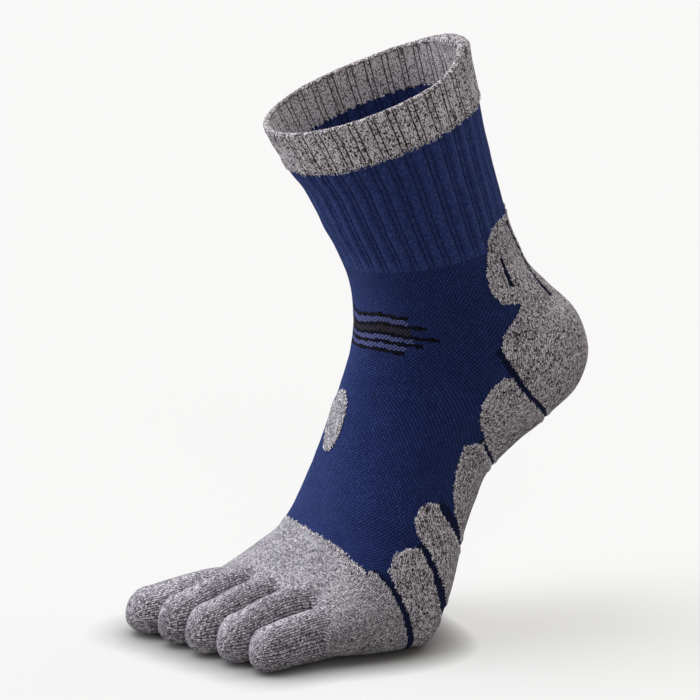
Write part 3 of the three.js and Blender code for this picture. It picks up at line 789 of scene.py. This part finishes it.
# How far the mouth's edge rises towards its back, by degrees round from the front over the outer side
CORNER_TURNS = (0, 95, 108, 119, 128, 136, 146, 160, 180, 200, 225, 250, 360)
CORNER_LIFTS = (0, 0, 0.2, 0.9, 2.2, 3.7, 5.2, 5.4, 4.4, 2.8, 0.8, 0, 0)
fold_angles = np.linspace(0, np.pi, FOLD_RINGS + 2)[1:-1]
welt_courses = rows[: welt_count + 2][::-1]
welt_turns = turns[: welt_count + 2][::-1]
welt_relief = (rib_relief + soft)[: welt_count + 2][::-1]

# The back of the mouth is drawn up and out into a corner, where the fold is thick
near_mouth = np.clip(1 - welt_courses, 0, 1)[:, None]
corner = np.maximum(-np.cos(welt_turns), 0) ** CORNER_ROUND * near_mouth**CORNER_DOWN
corner_lift = np.interp(np.degrees(welt_turns) % 360, CORNER_TURNS, CORNER_LIFTS)
corner_lift *= near_mouth**LIFT_DOWN
corner_out = CORNER_OUT * corner
welt_deep = WELT_DEEP + CORNER_DEEP * corner
fold_radius = welt_deep[-1] / 2


def welt_face(inwards):
    """The rings of one face of the cloth, from the outer end over the fold to the inner end."""
    radius = fold_radius - inwards
    below_fold = fold_radius * np.clip(1 - welt_courses / FOLD_ROWS, 0, 1)[:, None] - corner_lift
    out = WELT_STEP - inwards + welt_relief + corner_out
    up = tube(welt_courses[:, None], welt_turns, out, below_fold)
    fold = []
    for angle in fold_angles:
        out = WELT_STEP - fold_radius + radius * np.cos(angle) + corner_out[-1]
        relief = welt_relief[-1] * (1 - FOLD_SMOOTH * np.sin(angle))
        down_by = fold_radius - radius * np.sin(angle) - corner_lift[-1]
        fold.append(tube(MOUTH, welt_turns[-1], out + relief, down_by))
    out = WELT_STEP - welt_deep + inwards - INSIDE_RELIEF * welt_relief + corner_out
    down = tube(welt_courses[:, None], welt_turns, out, below_fold)[::-1]
    return np.concatenate([up, np.array(fold), down])


welt_outside = welt_face(0.0)[::-1]
welt_inside = welt_face(WELT_CLOTH)[::-1]
welt_rings = len(welt_outside)
cuff_cells = np.ones((welt_rings - 1, COLUMNS), bool)
cuff_cells[0] = chance.integers(0, 2, COLUMNS) > 0
cuff_cells[-1] = welt_last > welt_count
cuff_faces, cuff_places = grid_faces(cuff_cells, COLUMNS)
cuff_normals = grid_normals(welt_outside)
down_inside = np.arange(welt_rings - 1) < len(welt_courses) - 1
# The inside of the welt takes the lighter copy of the welt's marl: painted light
cuff_slots = np.where(down_inside, LINING, WELT)[:, None] + np.zeros(COLUMNS, int)
in_fold = slice(len(welt_courses) - 1, len(welt_courses) + FOLD_RINGS)
# The fold takes the darker copy of the welt's marl: painted shade
cuff_slots[in_fold] = FOLD
cuff_knit = closed_shell(
    "cuff_knit", welt_outside.reshape(-1, 3), welt_inside.reshape(-1, 3), cuff_faces, cuff_places,
    cuff_slots[cuff_cells], cuff_slots[cuff_cells], cuff_normals.reshape(-1, 3), MATERIALS,
)
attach(cuff_knit, "root")
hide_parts("cuff_welt")


# The toe cap: its lumps are joined and smoothed, cut at the cap edge, and given stitches

LUMP_SIDES, FOREFOOT_RINGS, TIP_RINGS, TOE_RINGS = 120, 50, 14, 24
CAP_OVERLAP_ROWS = 0.8  # how far the lump of the forefoot reaches back past the cap edge
TOE_VOXEL = 0.8
SMOOTH_SHARE, SMOOTH_TIMES = 0.5, 2
TOE_CLOTH = 1.5
TOE_BASE_Y = -30  # all is grey ahead of this
TOE_STITCH = 1.2  # width of a stitch on the toes


def lump(points):
    """Corner numbers of a closed lump through rings of points, with a fan at each end."""
    rings, count = points.shape[:2]
    flat = np.concatenate([points.reshape(-1, 3), points[:1].mean(axis=1), points[-1:].mean(axis=1)])
    faces, _ = grid_faces(np.ones((rings - 1, count), bool), count)
    first, last = rings * count, rings * count + 1
    ring = np.arange(count)
    following = (ring + 1) % count
    start = np.stack([np.full(count, first), ring, following], 1)
    end = (rings - 1) * count + np.stack([following, ring], 1)
    end = np.column_stack([np.full(count, last), end])
    return flat, faces.tolist() + start.tolist() + end.tolist()


# Where neighbouring toes part at their roots, the row at which the forefoot starts to sink there, over how
# many rows it does, and how deep and wide the crease is
PARTINGS = (TOES[:-1, 2] + TOES[:-1, 4] + TOES[1:, 2] - TOES[1:, 4]) / 2
CREASE_STARTS = (18.9, 19.0, 18.6, 17.4)
CREASE_ROWS = 1.1
CREASE_DEEP, CREASE_WIDE = 10.0, 2.8
CREASE_LOW, CREASE_RISE = 14, 8  # the height at which the skin starts to sink, and over how much more


def creased(points, rows_):
    """The forefoot with its top sunk along the partings of the toes."""
    top = np.clip((points[..., 2] - CREASE_LOW) / CREASE_RISE, 0, 1)
    lowered = points.copy()
    for x, first_row in zip(PARTINGS, CREASE_STARTS):
        sink = eased(np.clip((rows_ - first_row) / CREASE_ROWS, 0, 1))[:, None]
        across = np.exp(-(((points[..., 0] - x) / CREASE_WIDE) ** 2))
        lowered[..., 2] -= CREASE_DEEP * sink * across * top
    return lowered


def toe_section_lumps():
    """The forefoot and the five toes, each as a closed lump."""
    around = np.linspace(0, 2 * np.pi, LUMP_SIDES + 1)[:-1]
    forefoot_rows = np.linspace(CAP_EDGE - CAP_OVERLAP_ROWS, TOE_ROOT, FOREFOOT_RINGS)
    forefoot = tube(forefoot_rows[:, None], column_turns(forefoot_rows))
    yield lump(creased(forefoot, forefoot_rows))
    back, size = toe_stations(TIP_RINGS, TOE_RINGS, TOE_PROFILE[-1, 0])
    for toe in TOES:
        yield lump(toe_surface(toe, back[:, None], size[:, None], around[None, :]))


def read(items, key, kind, width=1):
    """One value of each item of a mesh, as an array."""
    values = np.empty(len(items) * width, kind)
    items.foreach_get(key, values)
    return values


def joined_toe_section():
    """Points and four-cornered faces of the toe cap as one smooth skin."""
    points, faces, start = [], [], 0
    for lump_points, lump_faces in toe_section_lumps():
        points.append(lump_points)
        faces += [[corner + start for corner in face] for face in lump_faces]
        start += len(lump_points)
    mesh = bpy.data.meshes.new("toe_lumps")
    mesh.from_pydata(np.concatenate(points).tolist(), [], faces)
    lumps = put_in_scene("toe_lumps", mesh)
    remesh = lumps.modifiers.new("Remesh", "REMESH")
    remesh.mode = "VOXEL"
    remesh.voxel_size = TOE_VOXEL
    smooth = lumps.modifiers.new("Smooth", "SMOOTH")
    smooth.factor = SMOOTH_SHARE
    smooth.iterations = SMOOTH_TIMES
    depsgraph = bpy.context.evaluated_depsgraph_get()
    skin = bpy.data.meshes.new_from_object(lumps.evaluated_get(depsgraph))
    bpy.data.objects.remove(lumps)
    points = read(skin.vertices, "co", float, 3).reshape(-1, 3)
    corners = read(skin.loops, "vertex_index", int)
    starts = read(skin.polygons, "loop_start", int)
    four_sided = starts[read(skin.polygons, "loop_total", int) == 4]
    return points, corners[four_sided[:, None] + np.arange(4)]


CHART_REACH = 0.6  # how far a place may lie from its nearest point of a chart, in cells
CHART_MARGIN = 3
CHART_ROWS, CHART_OVERLAP_ROWS = 90, 0.4
TOE_CHART_SIDES, TOE_CHART_RINGS, TOE_CHART_END = 96, 40, 1.45
WIDEST_RING = 20  # of a toe's chart
TUBE_LINES, TOE_LINES = 8, 4  # lines along a chart whose mean gives its courses


class StitchChart:
    """Reads stitch places off a grid of points, from the nearest of them."""

    def __init__(self, points, wales, courses):
        self.points = points
        self.wales, self.courses = wales, courses
        self.down = np.gradient(points, axis=0)
        self.across = (np.roll(points, -1, axis=1) - np.roll(points, 1, axis=1)) / 2
        self.tree = KDTree(points.shape[0] * points.shape[1])
        for number, point in enumerate(points.reshape(-1, 3)):
            self.tree.insert(point, number)
        self.tree.balance()

    def find(self, places):
        """Row number, column number and distance of each place."""
        found = np.array([self.tree.find(p)[1:] for p in places])
        number, distance = found[:, 0].astype(int), found[:, 1]
        i, j = np.divmod(number, self.points.shape[1])
        off = places - self.points[i, j]
        down, across = self.down[i, j], self.across[i, j]
        steps = [(off * way).sum(1) / np.maximum((way**2).sum(1), TINY) for way in (down, across)]
        past_row, past_column = np.clip(steps, -CHART_REACH, CHART_REACH)
        return i + past_row, j + past_column, distance

    def stitches(self, rows_, columns_):
        """Wale and course at row and column numbers."""
        course = np.interp(rows_, np.arange(len(self.courses)), self.courses)
        return np.stack([columns_ * self.wales / self.points.shape[1], course], -1)


def tube_chart():
    """The chart of the forefoot, which goes on from the tube's stitches, and its row at the cap edge."""
    chart_rows = np.linspace(CAP_EDGE - CHART_OVERLAP_ROWS, TOE_ROOT, CHART_ROWS)
    points = tube(chart_rows[:, None], column_turns(chart_rows))
    along = lengths(points[:, :: COLUMNS // TUBE_LINES], 0).mean(axis=1)
    from_edge = (along - np.interp(CAP_EDGE, chart_rows, along)) / COURSE
    chart = StitchChart(points, COLUMNS, len(rows) - 1 + from_edge)
    return chart, np.interp(CAP_EDGE, chart_rows, np.arange(len(chart_rows)))


def toe_chart(toe):
    """The chart of one toe, whose courses are counted from its root to its tip."""
    around = np.linspace(0, 2 * np.pi, TOE_CHART_SIDES + 1)[:-1]
    back, size = toe_stations(TIP_RINGS, TOE_CHART_RINGS, TOE_CHART_END)
    points = toe_surface(toe, back[:, None], size[:, None], around[None, :])
    along = lengths(points[:, :: TOE_CHART_SIDES // TOE_LINES], 0).mean(axis=1)
    wales = round(lengths(points[WIDEST_RING], 0)[-1] / TOE_STITCH)
    return StitchChart(points, wales, (along[-1] - along) / COURSE)


skin_points, skin_faces = joined_toe_section()
skin_points[:, 2] = np.maximum(skin_points[:, 2], 0)
foot_chart, edge_number = tube_chart()
charts = [foot_chart] + [toe_chart(toe) for toe in TOES]

# Points close to the cap edge are moved onto it, and what lies behind it is cut off
NEAR_EDGE_Y = -50
FAR_AHEAD = 99.0  # the row number of what lies ahead of that
near_edge = skin_points[:, 1] > NEAR_EDGE_Y
skin_rows = np.full(len(skin_points), FAR_AHEAD)
skin_columns = np.zeros(len(skin_points))
skin_rows[near_edge], skin_columns[near_edge], _ = foot_chart.find(skin_points[near_edge])
ahead = skin_rows > edge_number
mixed_faces = ahead[skin_faces].any(axis=1) & ~ahead[skin_faces].all(axis=1)
edge_points = np.unique(skin_faces[mixed_faces])
edge_points = edge_points[~ahead[edge_points]]
ring_turns = column_turns(np.array([float(CAP_EDGE)]))[0]
ring = np.append(ring_turns, 2 * np.pi)
moved_turns = np.interp(skin_columns[edge_points] % COLUMNS, np.arange(COLUMNS + 1), ring)
skin_points[edge_points] = tube(CAP_EDGE - TUCK_ROWS, moved_turns, -TUCK_DEEP)
kept = (ahead[skin_faces] | np.isin(skin_faces, edge_points)).all(axis=1) & ahead[skin_faces].any(axis=1)
skin_faces = skin_faces[kept]

# The chart of each face, and its corners' places on it
face_middles = skin_points[skin_faces].mean(axis=1)
chart_distance = []
for chart in charts:
    low = chart.points.min(axis=(0, 1)) - CHART_MARGIN
    high = chart.points.max(axis=(0, 1)) + CHART_MARGIN
    close = ((face_middles > low) & (face_middles < high)).all(axis=1)
    distance = np.full(len(face_middles), np.inf)
    distance[close] = chart.find(face_middles[close])[2]
    chart_distance.append(distance)
nearest_chart = np.argmin(chart_distance, axis=0)
skin_places = np.zeros((len(skin_faces), 4, 2))
for number, chart in enumerate(charts):
    mine = nearest_chart == number
    used, back_to = np.unique(skin_faces[mine], return_inverse=True)
    rows_, columns_, _ = chart.find(skin_points[used])
    columns_ = columns_[back_to].reshape(-1, 4)
    width = chart.points.shape[1]
    columns_ += width * np.round((columns_[:, :1] - columns_) / width)
    skin_places[mine] = chart.stitches(rows_[back_to].reshape(-1, 4), columns_)


def skin_normals():
    """Mean direction of the faces round each point."""
    a, b, c, d = (skin_points[skin_faces[:, k]] for k in range(4))
    face_normals = np.cross(c - a, d - b)
    normals = np.zeros(skin_points.shape)
    for k in range(4):
        np.add.at(normals, skin_faces[:, k], face_normals)
    return normals / np.maximum(np.linalg.norm(normals, axis=1, keepdims=True), TINY)


toe_normals = skin_normals()
toe_inner = skin_points - toe_normals * TOE_CLOTH
face_x, face_y = face_middles[:, 0], face_middles[:, 1]
before_roots = face_y > ROOT_Y + root_slant(face_x)
toe_number = 1 + np.searchsorted(PARTINGS, face_x)
skin_slots = np.where(before_roots & (face_y > TOE_BASE_Y), side_colours(face_y, face_middles[:, 2]), CAP)
skin_slots[nearest_chart > 0] = TOE
region = np.where(before_roots, 0, toe_number)
TOE_COUNT = len(TOES)
TOE_PIECES = ["forefoot_knit"] + [f"toe_knit_{k + 1}" for k in range(TOE_COUNT)]
TOE_NODES = ["forefoot"] + [f"toe_pocket_{k + 1}" for k in range(TOE_COUNT)]
for number, (name, node) in enumerate(zip(TOE_PIECES, TOE_NODES)):
    mine = region == number
    inside = np.full(np.count_nonzero(mine), CAP)
    piece = closed_shell(
        name, skin_points, toe_inner, skin_faces[mine], skin_places[mine],
        skin_slots[mine], inside, toe_normals, MATERIALS,
    )
    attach(piece, "root")
    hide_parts(node)


# Raised edge stitches, where grey yarn meets navy

# A stitch's width and height, the radius of its yarn, and how far it is off the cloth
EDGE_WIDE, EDGE_HIGH, EDGE_YARN, EDGE_LIFT = 0.95, 1.6, 0.18, 0.1
EDGE_SMALLEST, EDGE_LARGEST = (0.8, 0.7, 0.8), (1.25, 1.35, 1.2)  # shares of these
EDGE_SHARE = 0.75  # of the grey stitches beside navy that are raised
LEG_STEPS, YARN_SIDES = 2, 4


def bent_leg(tree, half_wide, half_high, lift):
    """One leg of a stitch: a yarn that bends up from its foot in the middle to its head at one side."""
    foot = add(tree, "ShaderNodeCombineXYZ", {1: calc(tree, "MULTIPLY", half_high, -1.0)})
    bend = add(tree, "ShaderNodeCombineXYZ", {0: half_wide, 2: lift})
    head = add(tree, "ShaderNodeCombineXYZ", {0: half_wide, 1: half_high})
    places = {"Start": foot.outputs[0], "Middle": bend.outputs[0], "End": head.outputs[0]}
    bent = add(tree, "GeometryNodeCurveQuadraticBezier", {**places, "Resolution": LEG_STEPS})
    return bent.outputs[0]


def edge_stitch_tree():
    """One two-legged stitch on each point, which lies along the wale and faces outwards."""
    tree = bpy.data.node_groups.new("Edge Stitches", "GeometryNodeTree")
    sizes = (
        ("Stitch Width", "NodeSocketFloat", EDGE_WIDE * MM),
        ("Stitch Height", "NodeSocketFloat", EDGE_HIGH * MM),
        ("Yarn Radius", "NodeSocketFloat", EDGE_YARN * MM),
        ("Seed", "NodeSocketInt", SEED),
    )
    tree.interface.new_socket("Places", in_out="INPUT", socket_type="NodeSocketGeometry")
    for label, kind, _ in sizes:
        tree.interface.new_socket(label, in_out="INPUT", socket_type=kind)
    tree.interface.new_socket("Stitches", in_out="OUTPUT", socket_type="NodeSocketGeometry")
    start, end = tree.nodes.new("NodeGroupInput"), tree.nodes.new("NodeGroupOutput")
    half_wide = calc(tree, "MULTIPLY", start.outputs["Stitch Width"], 0.5)
    other_half = calc(tree, "MULTIPLY", start.outputs["Stitch Width"], -0.5)
    half_high = calc(tree, "MULTIPLY", start.outputs["Stitch Height"], 0.5)
    lift = start.outputs["Yarn Radius"]
    legs = add(tree, "GeometryNodeJoinGeometry")
    for side in (half_wide, other_half):
        tree.links.new(bent_leg(tree, side, half_high, lift), legs.inputs[0])
    round_yarn = add(tree, "GeometryNodeCurvePrimitiveCircle", {"Resolution": YARN_SIDES, "Radius": lift})
    yarns = {"Curve": legs.outputs[0], "Profile Curve": round_yarn.outputs[0], "Fill Caps": True}
    stitch = add(tree, "GeometryNodeCurveToMesh", yarns)
    faced = {}
    for label in ("outward", "along"):
        node = add(tree, "GeometryNodeInputNamedAttribute", {"Name": label}, data_type="FLOAT_VECTOR")
        faced[label] = node.outputs["Attribute"]
    upright_turn = add(tree, "FunctionNodeAlignRotationToVector", {"Vector": faced["outward"]}, axis="Z")
    full_turn = add(
        tree, "FunctionNodeAlignRotationToVector",
        {"Rotation": upright_turn.outputs[0], "Vector": faced["along"]}, axis="Y", pivot_axis="Z",
    )
    limits = {"Min": EDGE_SMALLEST, "Max": EDGE_LARGEST, "Seed": start.outputs["Seed"]}
    sizes_apart = add(tree, "FunctionNodeRandomValue", limits, data_type="FLOAT_VECTOR")
    places = add(tree, "GeometryNodeMeshToPoints", {"Mesh": start.outputs["Places"]})
    placed_stitches = add(tree, "GeometryNodeInstanceOnPoints", {
        "Points": places.outputs[0], "Instance": stitch.outputs[0],
        "Rotation": full_turn.outputs[0], "Scale": sizes_apart.outputs[0],
    })
    real = add(tree, "GeometryNodeRealizeInstances", {0: placed_stitches.outputs[0]})
    covered = add(tree, "GeometryNodeSetMaterial", {"Geometry": real.outputs[0], "Material": edge_marl})
    tree.links.new(covered.outputs[0], end.inputs[0])
    return tree, {label: value for label, _, value in sizes}


def edge_places():
    """Points, outward directions and wale directions of the edge stitches."""
    grey_cells = np.isin(slots, (GREY, CAP)) & ~welt_cells
    unlike = np.zeros(grey_cells.shape, bool)
    unlike[:-1] |= grey_cells[:-1] & ~grey_cells[1:]
    unlike[1:] |= grey_cells[1:] & ~grey_cells[:-1]
    unlike |= grey_cells & ~np.roll(grey_cells, 1, axis=1)
    unlike |= grey_cells & ~np.roll(grey_cells, -1, axis=1)
    unlike[-1] = False
    unlike &= chance.random(unlike.shape) < EDGE_SHARE
    middles_out = cell_middles(outer_points)
    outward = cell_middles(outer_normals)
    along = outer_points[1:] - outer_points[:-1]
    i, j = np.nonzero(unlike)
    lift = np.append(np.full(len(i), EDGE_LIFT), np.full(COLUMNS, EDGE_LIFT + WELT_STEP))
    i, j = np.append(i, welt_last), np.append(j, np.arange(COLUMNS))
    places = middles_out[i, j] + outward[i, j] * lift[:, None]
    heads_up = chance.choice([-1.0, 1.0], len(i))[:, None]
    return places, outward[i, j], along[i, j] * heads_up


def edge_stitch_piece():
    """All edge stitches, baked to one mesh."""
    places, outward, along = edge_places()
    mesh = bpy.data.meshes.new("edge_stitches")
    mesh.from_pydata(((places + ORIGIN) * MM).tolist(), [], [])
    for label, values in (("outward", outward), ("along", along)):
        mesh.attributes.new(label, "FLOAT_VECTOR", "POINT").data.foreach_set("vector", values.ravel())
    piece = put_in_scene("edge_stitches", mesh)
    tree, values = edge_stitch_tree()
    modifier = piece.modifiers.new("Edge Stitches", "NODES")
    modifier.node_group = tree
    for item in tree.interface.items_tree:
        if item.name in values:
            modifier[item.identifier] = values[item.name]
    baked = bpy.data.meshes.new_from_object(piece.evaluated_get(bpy.context.evaluated_depsgraph_get()))
    piece.modifiers.remove(modifier)
    piece.data = baked
    for label in ("outward", "along"):
        if label in baked.attributes:
            baked.attributes.remove(baked.attributes[label])
    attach(piece, "root")


edge_stitch_piece()


# Floor, lights and camera

CAMERA_TURN, CAMERA_RISE = np.radians(66), np.radians(16)
CAMERA_TARGET = np.array([-10.28365, -5.87732, 126.87229])
CAMERA_AWAY = 2000
CAMERA_LENS, CAMERA_SENSOR, CAMERA_REACH = 231.43, 36, 50

view_back = np.array([
    np.sin(CAMERA_TURN) * np.cos(CAMERA_RISE),
    -np.cos(CAMERA_TURN) * np.cos(CAMERA_RISE),
    np.sin(CAMERA_RISE),
])
view_right = np.array([np.cos(CAMERA_TURN), np.sin(CAMERA_TURN), 0])
upright = np.array([0.0, 0.0, 1.0])
view_up = np.cross(view_back, view_right)


def placed(data, right, up, back, place):
    """An object whose local axes are right, up and back, at a place in metres."""
    thing = put_in_scene(data.name, data)
    matrix = Matrix.Identity(4)
    for column, axis in enumerate((right, up, back, place)):
        for line in range(3):
            matrix[line][column] = float(axis[line])
    thing.matrix_world = matrix
    return thing


camera_data = bpy.data.cameras.new("Camera")
camera_data.sensor_width = CAMERA_SENSOR
camera_data.lens = CAMERA_LENS
camera_data.clip_end = CAMERA_REACH
camera_place = (CAMERA_TARGET + view_back * CAMERA_AWAY + ORIGIN) * MM
bpy.context.scene.camera = placed(camera_data, view_right, view_up, view_back, camera_place)


def facing(direction):
    """Right, up and back axes of a lamp that shines against a direction."""
    back = direction / np.linalg.norm(direction)
    right = np.cross(upright, back)
    right /= np.linalg.norm(right)
    return right, np.cross(back, right), back


def sun(name, direction, strength, colour):
    """A wide lamp that shines against a direction."""
    data = bpy.data.lights.new(name, "SUN")
    data.energy = strength
    data.color = colour
    data.angle = SOFTNESS
    return placed(data, *facing(direction), direction)


flat_back = np.array([view_back[0], view_back[1], 0]) / np.cos(CAMERA_RISE)
SOFTNESS = 0.8  # angle of each lamp, in radians
WORLD_GLOW = 0.1
COOL, WARM = (0.97, 0.995, 1.02), (1.02, 0.985, 0.94)
# Each light's place to the right of the view, up and towards the camera, its strength and its colour
LIGHTS = {
    "High left": (-0.5, 0.95, -0.1, 2.8, COOL),
    "Low left": (-1.0, 0.35, 0.0, 2.0, COOL),
    "Back": (0.0, 0.7, -0.7, 0.7, WARM),
    "Right back": (0.7, 0.7, -0.4, 1.0, WARM),
    "Low front": (0.1, 0.3, 0.9, 0.88, WARM),
}
for name, (to_right, up, forward, strength, colour) in LIGHTS.items():
    sun(name, to_right * view_right + up * upright + forward * flat_back, strength, colour)

world = bpy.data.worlds.new("Studio")
world.use_nodes = True
world.node_tree.nodes["Background"].inputs["Color"].default_value = (1.0, 1.0, 1.0, 1.0)
world.node_tree.nodes["Background"].inputs["Strength"].default_value = WORLD_GLOW
bpy.context.scene.world = world
bpy.context.scene.view_settings.view_transform = "Standard"

floor_mesh = bpy.data.meshes.new("floor")
FLOOR_HALF, FLOOR_GAP = 4.0, 0.0003  # in metres
floor_z = ORIGIN[2] * MM - FLOOR_GAP
corners = [(x * FLOOR_HALF, y * FLOOR_HALF, floor_z) for x, y in ((-1, -1), (1, -1), (1, 1), (-1, 1))]
floor_mesh.from_pydata(corners, [], [(0, 1, 2, 3)])
floor = put_in_scene("floor", floor_mesh)
# The paper shows the camera alone some painted light, which lightens the lamps' shadows on it, and a painted
# contact shadow where the sock comes near. It throws less light back at the sock than it shows, as if dark
# flags stood round it
PAPER_THROWN, PAPER_SEEN = (0.2, 0.2, 0.2), (0.253, 0.25, 0.247)
# The painted light has a warm tint, so that the lamps' shadows on the paper look warm
PAPER_ROUGH, PAINTED_FLOOR_LIGHT, PAINTED_LIGHT_TINT = 0.95, 0.58, (0.965, 0.961, 0.955)
CONTACT_REACH, CONTACT_POWER, CONTACT_SAMPLES = 0.021, 2.8, 8
paper, paper_tree, paper_shader = new_material("Floor paper")
paper_shader.inputs["Roughness"].default_value = PAPER_ROUGH
paper_shader.inputs["Specular IOR Level"].default_value = 0.0
seen = add(paper_tree, "ShaderNodeLightPath").outputs["Is Camera Ray"]
thrown = add(paper_tree, "ShaderNodeRGB")
thrown.outputs[0].default_value = (*PAPER_THROWN, 1.0)
paper_tone = mixed_in(paper_tree, seen, thrown.outputs[0], PAPER_SEEN)
paper_tree.links.new(paper_tone, paper_shader.inputs["Base Color"])
# Painted contact shadow: the painted light fades out where the sock comes near the paper
contact = add(
    paper_tree, "ShaderNodeAmbientOcclusion", {"Distance": CONTACT_REACH}, samples=CONTACT_SAMPLES,
)
openness = calc(paper_tree, "POWER", contact.outputs["AO"], CONTACT_POWER)
painted_light = calc(paper_tree, "MULTIPLY", openness, PAINTED_FLOOR_LIGHT)
paper_tree.links.new(calc(paper_tree, "MULTIPLY", painted_light, seen), paper_shader.inputs["Emission Strength"])
paper_shader.inputs["Emission Color"].default_value = (*PAINTED_LIGHT_TINT, 1.0)
floor_mesh.materials.append(paper)
